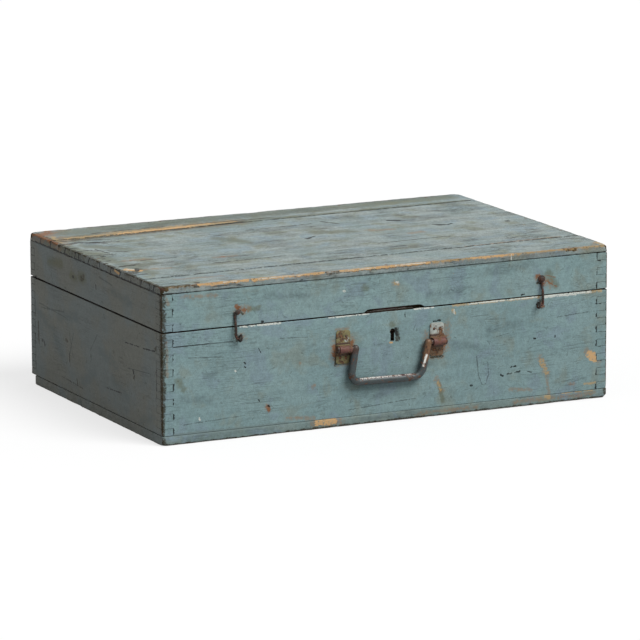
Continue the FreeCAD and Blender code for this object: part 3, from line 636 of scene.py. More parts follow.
class Effects:
    """The shader node groups that several finishes share."""

    def __init__(self) -> None:
        """Build each group once."""
        self.stroke = self._stroke()
        self.skin = self._skin()
        self.fibre = self._fibre()
        self.weather = self._weather()
        self.corrosion = self._corrosion()

    @staticmethod
    def _group(name: str, inputs: Dict[str, str], outputs: Sequence[str]
               ) -> Tuple[Graph, Dict[str, Socket], bpy.types.Node]:
        """Start a node group.

        Args:
            name: The group's name.
            inputs: Each input's name and its kind, Float, Vector or Color.
            outputs: The names of its number outputs, or Color for a colour.

        Returns:
            The graph, the inputs by name and the output node.
        """
        tree = bpy.data.node_groups.new(name, "ShaderNodeTree")
        for label, kind in inputs.items():
            tree.interface.new_socket(name=label, in_out="INPUT",
                                      socket_type="NodeSocket" + kind)
        for label in outputs:
            kind = "Color" if label == "Color" else "Float"
            tree.interface.new_socket(name=label, in_out="OUTPUT",
                                      socket_type="NodeSocket" + kind)
        graph = Graph(tree)
        entry = graph.node("NodeGroupInput")
        leave = graph.node("NodeGroupOutput")
        return graph, {socket.name: socket for socket in entry.outputs if socket.name}, leave

    def _stroke(self) -> bpy.types.NodeTree:
        """A mask along a stroke, with a ragged outline; Over is Along over its square.

        Returns:
            The group.
        """
        graph, given, leave = self._group(
            "stroke", {"Place": "Vector", "Start": "Vector", "Along": "Vector",
                       "Over": "Vector", "Core": "Float", "Width": "Float",
                       "Ragged": "Float", "Wander": "Float"}, ["Mask"])
        out = graph.vector("SUBTRACT", given["Place"], given["Start"])
        share = graph.clamp(graph.vector("DOT_PRODUCT", out, given["Over"]))
        foot = graph.scale(given["Along"], share)
        away = graph.math("MULTIPLY_ADD", given["Wander"], given["Ragged"],
                          graph.vector("DISTANCE", out, foot))
        mask = graph.step(away, given["Core"], given["Width"], 1.0, 0.0)
        graph.fill(leave, {"Mask": mask})
        return graph.tree

    def trail(self, graph: Graph, place: Socket, ends: Tuple[Point, Point], width: float,
              fade: float, ragged: float, wander: Socket) -> Socket:
        """Add the mask of one stroke.

        Args:
            graph: The graph that it is added to.
            place: The point being shaded.
            ends: The stroke's two ends, in mm.
            width: Half its width, in mm.
            fade: How gradually it fades at its outline, 0 to 1.
            ragged: How far its outline wanders, in mm.
            wander: The noise that makes it wander, from about -1 to 1.

        Returns:
            The mask.
        """
        along = Vector(ends[1]) - Vector(ends[0])
        over = along / max(along.length_squared, 1.0e-4)
        return graph.use(self.stroke, Place=place, Start=ends[0], Along=tuple(along),
                         Over=tuple(over), Core=width * (1.0 - fade),
                         Width=width * (1.0 + fade), Ragged=ragged, Wander=wander)["Mask"]

    def _skin(self) -> bpy.types.NodeTree:
        """The depth below the nearest outer plane, and the distance from the nearest arris.

        Returns:
            The group.
        """
        graph, given, leave = self._group(
            "skin", {"Place": "Vector", "Low": "Vector", "High": "Vector"},
            ["Depth", "Arris"])
        near = graph.vector("SUBTRACT", given["Place"], given["Low"])
        far = graph.vector("SUBTRACT", given["High"], given["Place"])
        x, y, z = graph.parts(graph.vector("MINIMUM", near, far))
        less = graph.math("MINIMUM", x, y)
        more = graph.math("MAXIMUM", x, y)
        depth = graph.math("MINIMUM", less, z)
        arris = graph.math("MAXIMUM", less, graph.math("MINIMUM", more, z))
        graph.fill(leave, {"Depth": depth, "Arris": arris})
        return graph.tree

    def _fibre(self) -> bpy.types.NodeTree:
        """Pine grain: broad growth bands, fine fibres and thin dark lines along the board.

        Returns:
            The group.
        """
        graph, given, leave = self._group(
            "fibre", {"Place": "Vector", "Stretch": "Vector", "Vein": "Float"},
            ["Band", "Stripe", "Fine", "Line", "Height"])
        sway_width = 26.0
        veined_span = (0.48, 0.62)
        wave = graph.noise(given["Place"], SWAY)
        sway = graph.math("MULTIPLY", graph.math("SUBTRACT", wave, MIDDLE), sway_width)
        drawn = graph.vector("ADD", graph.vector("MULTIPLY", given["Place"],
                                                 given["Stretch"]), sway)
        band = graph.noise(drawn, BAND)
        stripe = graph.noise(drawn, STRIPE)
        fine = graph.noise(drawn, FINE)
        vein = graph.noise(drawn, VEIN)
        off = graph.math("ABSOLUTE", graph.math("SUBTRACT", vein, MIDDLE))
        line = graph.step(off, 0.0, given["Vein"], 1.0, 0.0)
        here = graph.noise(given["Place"], VEINED)
        line = graph.math("MULTIPLY", line, graph.within(here, veined_span))
        band_rise, fine_rise, line_dip = 0.25, 0.16, 0.22
        height = graph.math("ADD", graph.math("MULTIPLY", band, band_rise),
                            graph.math("MULTIPLY", fine, fine_rise))
        height = graph.math("SUBTRACT", height, graph.math("MULTIPLY", line, line_dip))
        graph.fill(leave, {"Band": band, "Stripe": stripe, "Fine": fine, "Line": line,
                           "Height": height})
        return graph.tree

    def _weather(self) -> bpy.types.NodeTree:
        """Uneven ageing: hand-sized patches, finger-sized blotches, specks and pinpricks.

        Returns:
            The group.
        """
        graph, given, leave = self._group(
            "weather", {"Place": "Vector"},
            ["Patch", "Tint", "Blotch", "Flake", "Dust", "Wander", "Scratch", "Dot", "Chip"])
        patch = graph.noise(given["Place"], PATCH)
        blotch = graph.noise(given["Place"], BLOTCH)
        flake = graph.noise(given["Place"], FLAKE)
        dust = graph.noise(given["Place"], DUST)
        tint = graph.noise(given["Place"], TINT)
        broad_swing, small_swing = 5.0, 6.0
        wander = graph.math(
            "ADD", graph.math("MULTIPLY_ADD", blotch, broad_swing, -broad_swing * MIDDLE),
            graph.math("MULTIPLY_ADD", flake, small_swing, -small_swing * MIDDLE))
        swirl = graph.noise(given["Place"], SWIRL)
        scratch_width, scratched_span = 0.012, (0.50, 0.58)
        scratch = graph.step(graph.math("ABSOLUTE", graph.math("SUBTRACT", swirl, MIDDLE)),
                             0.0, scratch_width, 1.0, 0.0)
        scratch = graph.math("MULTIPLY", scratch, graph.within(blotch, scratched_span))
        spots = graph.cells(given["Place"], DOT_CELLS)
        pick, size, _rest = graph.parts(spots["Color"])
        widest_dot, dotted_span = 0.085, (0.48, 0.50)
        wide = graph.math("MULTIPLY", size, widest_dot)
        dot = graph.math("MULTIPLY", graph.step(spots["Distance"], 0.0, wide, 1.0, 0.0),
                         graph.within(pick, dotted_span))
        chips = graph.cells(given["Place"], CHIP_CELLS)
        kept, broad, _rest = graph.parts(chips["Color"])
        chip_wobble, widest_chip, chipped_span = 0.12, 0.075, (0.78, 0.80)
        away = graph.math(
            "ADD", chips["Distance"],
            graph.math("MULTIPLY", graph.math("SUBTRACT", blotch, MIDDLE), chip_wobble))
        reach = graph.math("MULTIPLY", broad, widest_chip)
        chip = graph.math("MULTIPLY", graph.step(away, 0.0, reach, 1.0, 0.0),
                          graph.within(kept, chipped_span))
        graph.fill(leave, {"Patch": patch, "Tint": tint, "Blotch": blotch, "Flake": flake,
                           "Dust": dust, "Wander": wander, "Scratch": scratch, "Dot": dot,
                           "Chip": chip})
        return graph.tree

    def _corrosion(self) -> bpy.types.NodeTree:
        """Rust: where it has broken through, its colour and its crust.

        Returns:
            The group.
        """
        graph, given, leave = self._group(
            "corrosion", {"Place": "Vector", "Spread": "Float"},
            ["Mask", "Tone", "Crust"])
        broad = graph.noise(given["Place"], RUST_SPREAD)
        fine = graph.noise(given["Place"], RUST_GRAIN)
        broad_share, fine_share = 0.7, 0.3
        clean_level, rusted_span = 0.36, (0.27, 0.36)
        level = graph.math("ADD", graph.math("MULTIPLY", broad, broad_share),
                           graph.math("MULTIPLY", fine, fine_share))
        clean = graph.math("SUBTRACT", 1.0, given["Spread"])
        clean = graph.math("MULTIPLY", clean, clean_level)
        mask = graph.within(graph.math("SUBTRACT", level, clean), rusted_span)
        tone = graph.noise(given["Place"], RUST_TONE)
        crust = graph.math("MULTIPLY", fine, fine_share)
        graph.fill(leave, {"Mask": mask, "Tone": tone, "Crust": crust})
        return graph.tree


# ------------------------ finishes


@dataclass(frozen=True)
class TraceLook:
    """How one kind of mark looks.

    Args:
        colour: The colour it leads to.
        share: How far it leads there, 0 to 1.
        fade: How gradually it fades at its outline, 0 to 1.
        edge: How soft the edge of each broken bit is, 0 to 0.5.
        level: How much of it is broken away, 0 to 1.
        broken: How strongly grit breaks it up, from 0.
        dip: How deep it lies, in mm.
    """

    colour: Colour
    share: float
    fade: float
    edge: float
    level: float
    broken: float
    dip: float = 0.0


# In the order in which they lie over the paint and each other.
TRACE_LOOKS = {
    Trace.STAIN: TraceLook((0.090, 0.092, 0.040), 0.55, 1.0, 0.45, 0.60, 3.0),
    Trace.HALO: TraceLook((0.245, 0.135, 0.060), 0.52, 1.0, 0.45, 0.80, 4.0),
    Trace.TAN: TraceLook((0.40, 0.285, 0.140), 0.72, 0.9, 0.30, 0.62, 4.0),
    # Dark scuffs in the paint, and at the keyhole painted shade.
    Trace.SCUFF: TraceLook((0.075, 0.105, 0.110), 0.45, 0.9, 0.40, 0.85, 4.5),
    Trace.LINE: TraceLook((0.045, 0.058, 0.056), 0.60, 0.5, 0.35, 0.50, 1.2),
    # Dirt, and at the keyhole and the hooks painted shade and shadow.
    Trace.DIRT: TraceLook((0.038, 0.033, 0.020), 0.85, 0.7, 0.25, 0.60, 4.0),
    Trace.BARE: TraceLook((0.58, 0.35, 0.15), 0.90, 0.6, 0.18, 0.55, 4.0, 0.12),
    Trace.RUST: TraceLook((0.205, 0.086, 0.034), 0.82, 0.9, 0.30, 0.60, 3.5),
    # Pale worn paint, partly a painted highlight along the walls' upper edge and the top's front
    # arris.
    Trace.PALE: TraceLook((0.56, 0.58, 0.53), 0.85, 0.6, 0.20, 0.60, 4.0),
    Trace.FILLED: TraceLook((0.15, 0.20, 0.195), 0.75, 0.6, 0.50, 0.50, 0.2),
    Trace.CRACK: TraceLook((0.014, 0.016, 0.015), 0.92, 0.35, 0.25, 0.55, 2.2, 0.5),
}


# Spans of the noise fields that one change of the paint or the wood crosses.
SALLOW_SPAN: Span = (0.52, 0.68)
COOL_SPAN: Span = (0.34, 0.47)
SHADE_COOL_SPAN: Span = (0.40, 0.60)
DUST_SPAN: Span = (0.36, 0.64)
FLAKE_SPAN: Span = (0.34, 0.66)
STRIPE_SPAN: Span = (0.36, 0.60)
FIBRE_SPAN: Span = (0.45, 0.75)
FRESH_SPAN: Span = (0.40, 0.62)
RAW_SPAN: Span = (0.44, 0.62)
JOINT_SPAN: Span = (0.30, 0.62)

# How strongly each of them shows, and the tones of the paint between them.
SALLOW_SHARE = 1.2
COOL_SHARE = 1.3
FLAKE_SHARE = 0.8
STRIPE_RISE = 0.4
FIBRE_SHARE = 0.4
DOT_SHARE = 0.8
SCRATCH_SHARE = 0.42
GRIME_SHARE = 0.9
JOINT_LEAST = 0.7
LATE_WOOD = 0.62
CLEAN_FROM = 0.4
BLOTCH_TONES: Span = (0.90, 1.07)
FINE_TONE = 0.05

# Places in mm: along X where the left end takes its painted shade, depths below the outer planes
# where grime begins and ends and marks end, and how far from an arris grime begins.
LEFT_END: Span = (0.6 - SHELL.half_width, 1.8 - SHELL.half_width)
GRIME_FROM: Span = (0.45, 0.9)
GRIME_TO: Span = (1.5, 6.0)
GRIME_OFF_ARRIS: Span = (2.0, 3.5)
MARKS_TO: Span = (4.0, 7.0)

# How unevenly the paint holds on in the depth, and at the arrises, in mm.
HOLD_BLOTCH = 0.28
HOLD_PATCH = 0.25
HOLD_EDGE = 0.05
RUB_BLOTCH = 1.0
RUB_DUST = 0.5
RUB_CORE = 0.5

# How grit breaks up the marks.
GRIT_THERE: Span = (0.0, 0.15)
GRIT_DUST = 0.35

# The surface: the paint's thickness, rises and dips in mm, its gloss and its bumps.
PAINT_COAT = 0.12
DUST_RISE = 0.05
DOT_DIP = 0.3
PAINT_ROUGHNESS: Span = (0.56, 0.70)
WOOD_ROUGHNESS = 0.85
PAINT_SPECULAR = 0.13
PAINT_BUMP = 0.7


@dataclass(frozen=True)
class Ground:
    """What a board's material reads at the point being shaded.

    Args:
        graph: The material's graph.
        place: The point, in mm.
        skin: The outputs of the skin group.
        age: The outputs of the weather group.
        fibre: The outputs of the fibre group.
    """

    graph: Graph
    place: Socket
    skin: Dict[str, Socket]
    age: Dict[str, Socket]
    fibre: Dict[str, Socket]


@dataclass(frozen=True)
class BoardFinish:
    """Old oil paint on pine, worn back to the wood.

    Args:
        name: The finish's name.
        paint: The paint where it is whole.
        faded: The paint where it has faded.
        cool: The paint where it is bluer.
        sallow: The paint where grease has yellowed it.
        shaded: A darker, greyer copy of the paint on the left end, as painted shade.
        painted_shade_cool: The same painted shade where it is bluer.
        worn: Dirty pine where an arris is rubbed through.
        raw: The redder pine between the dirty places of an arris.
        wood: Bare pine inside the chest.
        fresh: Freshly bared pine.
        grime: The dirt in joints, pores and lines.
        streak: How strongly the grain's lines show, 0 to 1.
        vein: How wide the grain's lines are, as a share of the noise.
        stripe: How much the broad stripes along the grain change the tone, 0 to 1.
        mottle: How strongly the patches show, 0 to 1.
        grit: How much the fine grit changes the tone, 0 to 1.
        specks: How strongly small chips of paint are missing, 0 to 1.
        rubbed: How wide the outer arrises are rubbed through, in mm.
        hold: The depth at which paint gives way to wood, in mm.
        clean: The depth from which the wood is clean, in mm.
    """

    name: str
    paint: Colour = (0.182, 0.271, 0.278)
    faded: Colour = (0.215, 0.302, 0.303)
    cool: Colour = (0.184, 0.252, 0.288)
    sallow: Colour = (0.196, 0.236, 0.205)
    # Painted shade: the left end's paint is a darker, greyer copy of the paint.
    shaded: Colour = (0.172, 0.180, 0.160)
    painted_shade_cool: Colour = (0.162, 0.186, 0.182)
    worn: Colour = (0.040, 0.032, 0.016)
    raw: Colour = (0.105, 0.050, 0.036)
    wood: Colour = (0.36, 0.245, 0.135)
    fresh: Colour = (0.50, 0.33, 0.17)
    grime: Colour = (0.016, 0.016, 0.013)
    streak: float = 0.35
    vein: float = 0.028
    stripe: float = 0.05
    mottle: float = 0.5
    grit: float = 0.09
    specks: float = 0.4
    rubbed: float = 2.4
    hold: float = 0.6
    clean: float = 15.0

    def material(self, effects: Effects, label: str, side: Side, grain: Grain,
                 marks: Sequence[Mark]) -> bpy.types.Material:
        """Build the material of one board.

        Args:
            effects: The shared node groups.
            label: The board's name.
            side: The outer faces that the board shows.
            grain: The way its grain runs.
            marks: Its own marks.

        Returns:
            The material.
        """
        made = new_material(f"{self.name}_{label}")
        graph = Graph(made.node_tree)
        place = graph.place()
        low, high = side.value
        on = Ground(graph, place, graph.use(effects.skin, Place=place, Low=low, High=high),
                    graph.use(effects.weather, Place=place),
                    graph.use(effects.fibre, Place=place, Stretch=grain.value, Vein=self.vein))
        seam = graph.node("ShaderNodeAttribute", attribute_name=SEAM).outputs["Fac"]

        paint = self._painted(on)
        wood, bright = self._bared(on)
        worn, chip = self._rubbed_through(on)
        colour = graph.mix(worn, paint, wood)
        colour = graph.mix(chip, colour, bright)
        missing = graph.math("MAXIMUM", chip, worn)
        dip = graph.math("MULTIPLY", missing, PAINT_COAT)
        colour, dip, filled = self._marked(on, effects, marks, bright, colour, dip)
        joint = graph.math("MULTIPLY", seam,
                           graph.within(on.age["Blotch"], JOINT_SPAN, 1.0, JOINT_LEAST))
        joint = graph.math("MULTIPLY", joint, graph.math("SUBTRACT", 1.0, filled))
        colour = graph.mix(joint, colour, self.grime)

        shader = made.node_tree.nodes["Principled BSDF"]
        graph.put(shader.inputs["Base Color"], colour)
        graph.put(shader.inputs["Normal"], self._bumps(on, dip))
        rough = graph.within(on.age["Blotch"], WIDE, *PAINT_ROUGHNESS)
        rough = graph.math("MAXIMUM", rough, graph.math("MULTIPLY", missing, WOOD_ROUGHNESS))
        graph.put(shader.inputs["Roughness"], rough)
        shader.inputs["Specular IOR Level"].default_value = PAINT_SPECULAR
        return made

    def _painted(self, on: Ground) -> Socket:
        """The paint, faded, yellowed or bluer by its place and darker as painted shade on the
        left end, with grain and specks.

        Args:
            on: What the material reads.

        Returns:
            The paint's colour.
        """
        graph, age, fibre = on.graph, on.age, on.fibre
        paint = graph.mix(graph.within(age["Patch"], EVEN, 0.0, self.mottle),
                          self.paint, self.faded)
        paint = graph.mix(
            graph.within(age["Tint"], SALLOW_SPAN, 0.0, self.mottle * SALLOW_SHARE),
            paint, self.sallow)
        paint = graph.mix(graph.within(age["Tint"], COOL_SPAN, self.mottle * COOL_SHARE, 0.0),
                          paint, self.cool)
        # Painted shade: the left end gets the darker, greyer copy of the paint, bluer in patches.
        x, _y, _z = graph.parts(on.place)
        end = graph.within(x, LEFT_END, 1.0, 0.0)
        grey = graph.mix(graph.within(age["Patch"], SHADE_COOL_SPAN), self.shaded, self.painted_shade_cool)
        paint = graph.mix(end, paint, grey)
        tone = graph.math("ADD", graph.within(age["Blotch"], WIDE, *BLOTCH_TONES),
                          graph.within(fibre["Fine"], WIDE, -FINE_TONE, FINE_TONE))
        for field, span, low, high in (
                (age["Dust"], DUST_SPAN, -self.grit, self.grit),
                (age["Flake"], FLAKE_SPAN, -self.grit * FLAKE_SHARE, self.grit * FLAKE_SHARE),
                (fibre["Stripe"], STRIPE_SPAN, -self.stripe, self.stripe * STRIPE_RISE)):
            tone = graph.math("ADD", tone, graph.within(field, span, low, high))
        paint = graph.mix(1.0, paint, tone, "MULTIPLY")
        dark = graph.math("MULTIPLY", fibre["Line"], self.streak)
        for speck, share in ((age["Dot"], DOT_SHARE), (age["Scratch"], SCRATCH_SHARE)):
            dark = graph.math("MAXIMUM", dark, graph.math("MULTIPLY", speck, share))
        return graph.mix(dark, paint, self.grime)

    def _bared(self, on: Ground) -> Tuple[Socket, Socket]:
        """The wood under the paint, and freshly bared wood.

        Args:
            on: What the material reads.

        Returns:
            The wood, old near the surface and clean inside, and the fresh wood.
        """
        graph, age, depth = on.graph, on.age, on.skin["Depth"]
        late = tuple(part * LATE_WOOD for part in self.wood)
        inner = graph.mix(graph.within(on.fibre["Band"], EVEN), self.wood, late)
        inner = graph.mix(graph.within(on.fibre["Fine"], FIBRE_SPAN, 0.0, FIBRE_SHARE),
                          inner, self.grime)
        bright = graph.mix(graph.within(age["Dust"], FRESH_SPAN), self.fresh,
                           TRACE_LOOKS[Trace.BARE].colour)
        old = graph.mix(graph.within(age["Blotch"], RAW_SPAN), self.worn, self.raw)
        wood = graph.mix(graph.step(depth, self.clean * CLEAN_FROM, self.clean), old, inner)
        dirt = graph.math("MULTIPLY", graph.within(depth, GRIME_FROM),
                          graph.within(depth, GRIME_TO, GRIME_SHARE, 0.0))
        dirt = graph.math("MULTIPLY", dirt, graph.within(on.skin["Arris"], GRIME_OFF_ARRIS))
        return graph.mix(dirt, wood, self.grime), bright

    def _rubbed_through(self, on: Ground) -> Tuple[Socket, Socket]:
        """Where the paint is gone.

        Args:
            on: What the material reads.

        Returns:
            The mask of worn arrises and inner faces, and the mask of missing chips.
        """
        graph, age = on.graph, on.age
        limit = graph.math("ADD", graph.within(age["Blotch"], WIDE, -HOLD_BLOTCH, HOLD_BLOTCH),
                           graph.within(age["Patch"], EVEN, -HOLD_PATCH, HOLD_PATCH))
        limit = graph.math("ADD", limit, self.hold)
        worn = graph.step(graph.math("SUBTRACT", on.skin["Depth"], limit),
                          -HOLD_EDGE, HOLD_EDGE)
        edge = graph.math("ADD", on.skin["Arris"],
                          graph.within(age["Blotch"], WIDE, -RUB_BLOTCH, RUB_BLOTCH))
        edge = graph.math("SUBTRACT", edge,
                          graph.within(age["Dust"], WIDE, -RUB_DUST, RUB_DUST))
        rubbed = graph.step(edge, self.rubbed * RUB_CORE, self.rubbed, 1.0, 0.0)
        worn = graph.math("MAXIMUM", worn, rubbed)
        return worn, graph.math("MULTIPLY", age["Chip"], self.specks)

    def _marked(self, on: Ground, effects: Effects, marks: Sequence[Mark], bright: Socket,
                colour: Socket, dip: Socket) -> Tuple[Socket, Socket, Value]:
        """Lay the board's marks over its colour, kind by kind.

        Args:
            on: What the material reads.
            effects: The shared node groups.
            marks: The marks.
            bright: Freshly bared wood.
            colour: The colour so far.
            dip: How deep the surface lies so far, in mm.

        Returns:
            The colour, the depth and the mask of the filled lines.
        """
        graph = on.graph
        filled: Value = 0.0
        outside = graph.within(on.skin["Depth"], MARKS_TO, 1.0, 0.0)
        for kind, look in TRACE_LOOKS.items():
            share = self._mask(on, effects, look, [mark for mark in marks if mark.kind is kind])
            if share is None:
                continue
            share = graph.math("MULTIPLY", share, outside)
            under = bright if kind is Trace.BARE else look.colour
            colour = graph.mix(graph.math("MULTIPLY", share, look.share), colour, under)
            if look.dip > 0.0:
                dip = graph.math("ADD", dip, graph.math("MULTIPLY", share, look.dip))
            if kind is Trace.FILLED:
                filled = share
        return colour, dip, filled

    @staticmethod
    def _mask(on: Ground, effects: Effects, look: TraceLook,
              marks: Sequence[Mark]) -> Optional[Socket]:
        """Gather marks of one kind into one mask, broken up by grit.

        Args:
            on: What the material reads.
            effects: The shared node groups.
            look: How the marks look.
            marks: The marks.

        Returns:
            The mask, or None where there are no marks.
        """
        graph = on.graph
        whole = None
        for mark in marks:
            stroke = effects.trail(graph, on.place, (mark.start, mark.end), mark.width,
                                   look.fade, mark.ragged, on.age["Wander"])
            whole = stroke if whole is None else graph.math("MAXIMUM", whole, stroke)
        if whole is None:
            return None
        there = graph.within(whole, GRIT_THERE)
        grit = graph.math("MULTIPLY_ADD", on.age["Dust"], GRIT_DUST,
                          -MIDDLE - GRIT_DUST * MIDDLE)
        grit = graph.math("MULTIPLY", graph.math("ADD", on.age["Flake"], grit), look.broken)
        whole = graph.math("MULTIPLY_ADD", grit, there, whole)
        return graph.step(whole, look.level - look.edge, look.level + look.edge)

    @staticmethod
    def _bumps(on: Ground, dip: Socket) -> Socket:
        """The surface's normal, from its grain, its dust, its pinpricks and its marks.

        Args:
            on: What the material reads.
            dip: How deep the surface lies, in mm.

        Returns:
            The normal.
        """
        graph = on.graph
        height = graph.math("SUBTRACT", on.fibre["Height"], dip)
        height = graph.math("ADD", height, graph.math("MULTIPLY", on.age["Dust"], DUST_RISE))
        height = graph.math("SUBTRACT", height, graph.math("MULTIPLY", on.age["Dot"], DOT_DIP))
        return graph.bump(height, PAINT_BUMP)


# Iron: how far the outlines of its paint wander in mm and fade, its tones, its rise
# in mm, and its gloss and bumps.
IRON_WANDER = 5.0
ZONE_FADE = 0.35
IRON_TONES: Span = (0.82, 1.12)
OXIDE_SPAN: Span = (0.36, 0.62)
GRAIN_RISE = 0.05
RUST_ROUGHNESS = 0.85
IRON_SPECULAR = 0.4
IRON_BUMP = 0.8


@dataclass(frozen=True)
class Zone:
    """A stretch of a metal piece with its own paint.

    Args:
        start: One end, in mm.
        end: Other end, in mm.
        width: Its half width, in mm.
        colour: Its colour.
        ragged: How far its outline wanders, in mm.
    """

    start: Point
    end: Point
    width: float
    colour: Colour
    ragged: float = 1.6


@dataclass(frozen=True)
class IronFinish:
    """Iron or steel with what is left of its paint, and rust.

    Args:
        name: The finish's name.
        paint: The paint, or the bare metal where there is none.
        rust: Bright rust.
        scale: Dark rust.
        spread: How far the rust has spread, 0 to 1.
        metallic: How metallic the unrusted surface is, 0 to 1.
        roughness: Roughness of the unrusted surface.
        zones: Stretches with their own colour.
        crust: How strongly the rust stands up, 0 to 1.
    """

    name: str
    paint: Colour
    rust: Colour = (0.20, 0.085, 0.035)
    scale: Colour = (0.045, 0.028, 0.02)
    spread: float = 0.5
    metallic: float = 0.0
    roughness: float = 0.5
    zones: Tuple[Zone, ...] = ()
    crust: float = 0.6

    def material(self, effects: Effects) -> bpy.types.Material:
        """Build the material.

        Args:
            effects: The shared node groups.

        Returns:
            The material.
        """
        made = new_material(self.name)
        graph = Graph(made.node_tree)
        place = graph.place()
        rust = graph.use(effects.corrosion, Place=place, Spread=self.spread)
        fine = graph.noise(place, IRON_GRAIN)
        wander = graph.math("MULTIPLY_ADD", fine, IRON_WANDER, -IRON_WANDER * MIDDLE)
        colour: Value = self.paint
        for zone in self.zones:
            share = effects.trail(graph, place, (zone.start, zone.end), zone.width, ZONE_FADE,
                                  zone.ragged, wander)
            colour = graph.mix(share, colour, zone.colour)
        tone = graph.within(rust["Tone"], WIDE, *IRON_TONES)
        colour = graph.mix(1.0, colour, tone, "MULTIPLY")
        oxide = graph.mix(graph.within(rust["Tone"], OXIDE_SPAN), self.scale, self.rust)
        colour = graph.mix(rust["Mask"], colour, oxide)
        shader = made.node_tree.nodes["Principled BSDF"]
        graph.put(shader.inputs["Base Color"], colour)
        graph.put(shader.inputs["Roughness"],
                  graph.step(rust["Mask"], 0.0, 1.0, self.roughness, RUST_ROUGHNESS))
        if self.metallic > 0.0:
            graph.put(shader.inputs["Metallic"],
                      graph.step(rust["Mask"], 0.0, 1.0, self.metallic, 0.0))
        height = graph.math("MULTIPLY", graph.math("MULTIPLY", rust["Mask"], rust["Crust"]),
                            self.crust)
        height = graph.math("ADD", height, graph.math("MULTIPLY", fine, GRAIN_RISE))
        graph.put(shader.inputs["Normal"], graph.bump(height, IRON_BUMP))
        shader.inputs["Specular IOR Level"].default_value = IRON_SPECULAR
        return made


def new_material(name: str) -> bpy.types.Material:
    """Make an empty node material with its shader.

    Args:
        name: The material's name.

    Returns:
        The material, with a Principled BSDF joined to its output.
    """
    made = bpy.data.materials.new(name)
    made.use_nodes = True
    return made


# ------------------------ wear of the timber


class Wear:
    """How far the chest's surface has worn in, from the place alone.

    Attributes:
        touch: How near a plane a point on it lies, in mm.
        rim: How deep the rounding of an arris goes, in mm, and how far it reaches.
        depth: How deep below the skin the wear reaches, in mm.
        reach: How far from an arris it reaches, in mm.
        corner: How far from a corner it is stronger, in mm.
        corner_loss: How much more a corner has lost, in mm.
        deepest: The greatest depth, in mm.
        sunk: The height below which a point has gone through the ground, in mm.
        lift: How far such a point is lifted, in mm.
        slow: How many long swells of wear there are to a millimetre, and their depth in mm.
        layers: The roughness, the step in size and the number of the long swells' layers.
        quick: The same for short ones, whose pattern starts at quick_start.
        nick: The same for nicks, whose pattern starts at nick_start.
        nick_least: The noise from which there is a nick.
        exposed: How strongly the outer top and foot are worn.
        sheltered: How strongly the upright arrises are worn.
    """

    touch = 0.05
    rim = (0.85, 3.0)
    depth = 3.0
    reach = 7.0
    corner = 12.0
    corner_loss = 2.6
    deepest = 4.0
    sunk = -0.001
    lift = 0.2
    slow = (0.013, 0.55)
    layers = (1.0, 2.0, 2)
    quick = (0.11, 0.35)
    quick_start = Vector((7.0, 3.0, 1.0))
    nick = (0.045, 2.0)
    nick_start = Vector((1.0, 9.0, 4.0))
    nick_least = 0.34
    exposed = 1.35
    sheltered = 0.7

    @staticmethod
    def edges_of(point: Vector) -> Tuple[float, float, float]:
        """The distances from a point to the outer planes across X, Y and Z, in mm."""
        return (SHELL.half_width - abs(point.x), SHELL.half_depth - abs(point.y),
                min(SHELL.top - point.z, point.z))

    @staticmethod
    def on_arris(point: Vector) -> bool:
        """Whether a point lies on an outer arris."""
        return sorted(Wear.edges_of(point))[1] < Wear.touch

    @staticmethod
    def on_skin(point: Vector) -> bool:
        """Whether a point lies on the outer skin, rounded arrises included.

        Args:
            point: The point, in mm.

        Returns:
            True if it does.
        """
        near, second, _far = sorted(Wear.edges_of(point))
        deep, wide = Wear.rim
        return near < Wear.touch or (near < deep and second < wide)

    @staticmethod
    def is_sunk(point: Vector) -> bool:
        """Whether a point has been pressed through the ground."""
        return point.z < Wear.sunk

    @staticmethod
    def on_heel(point: Vector) -> bool:
        """Whether a point lies on the lower arris of the right end.

        Args:
            point: The point, in mm.

        Returns:
            True if it does.
        """
        across, _along, upright = Wear.edges_of(point)
        low_right = point.x > 0.0 and point.z < SHELL.foot
        return low_right and max(across, upright) < Wear.touch

    @staticmethod
    def rub(point: Vector) -> float:
        """The depth that an arris has lost at a point, in mm.

        Args:
            point: The point, in mm.

        Returns:
            The depth.
        """
        near, second, third = sorted(Wear.edges_of(point))
        heel = point.z < SHELL.foot and point.x > SHELL.half_width - SHELL.foot
        if near > Wear.depth or second > Wear.reach or heel:
            return 0.0
        corner = max(0.0, 1.0 - third / Wear.corner) ** 2 * Wear.corner_loss
        fall = (1.0 - second / Wear.reach) ** 2
        slow = noise.fractal(point * Wear.slow[0], *Wear.layers) * 0.5 + 0.5
        quick = noise.noise(point * Wear.quick[0] + Wear.quick_start)
        nick = noise.noise(point * Wear.nick[0] + Wear.nick_start) - Wear.nick_least
        loss = Wear.slow[1] * slow + Wear.quick[1] * quick + Wear.nick[1] * max(0.0, nick)
        open_edge = point.z > SHELL.deck or point.z < SHELL.foot
        strength = Wear.exposed if open_edge else Wear.sheltered
        return max(0.0, fall * (strength * loss + corner))


@dataclass(frozen=True)
class Board:
    """One board, and how it is cut up and worn.

    Args:
        node: The CAD node that it stands for.
        side: The outer faces that it shows.
        grain: The way its grain runs.
        marks: Its own marks.
        cuts: The axes that it is sliced across, with the step in mm.
        heel: How far its lower right end is rounded off, in mm.
    """

    node: str
    side: Side
    grain: Grain
    marks: Tuple[Mark, ...] = ()
    cuts: Tuple[Tuple[int, float], ...] = ((0, 6.0),)
    heel: float = 0.0


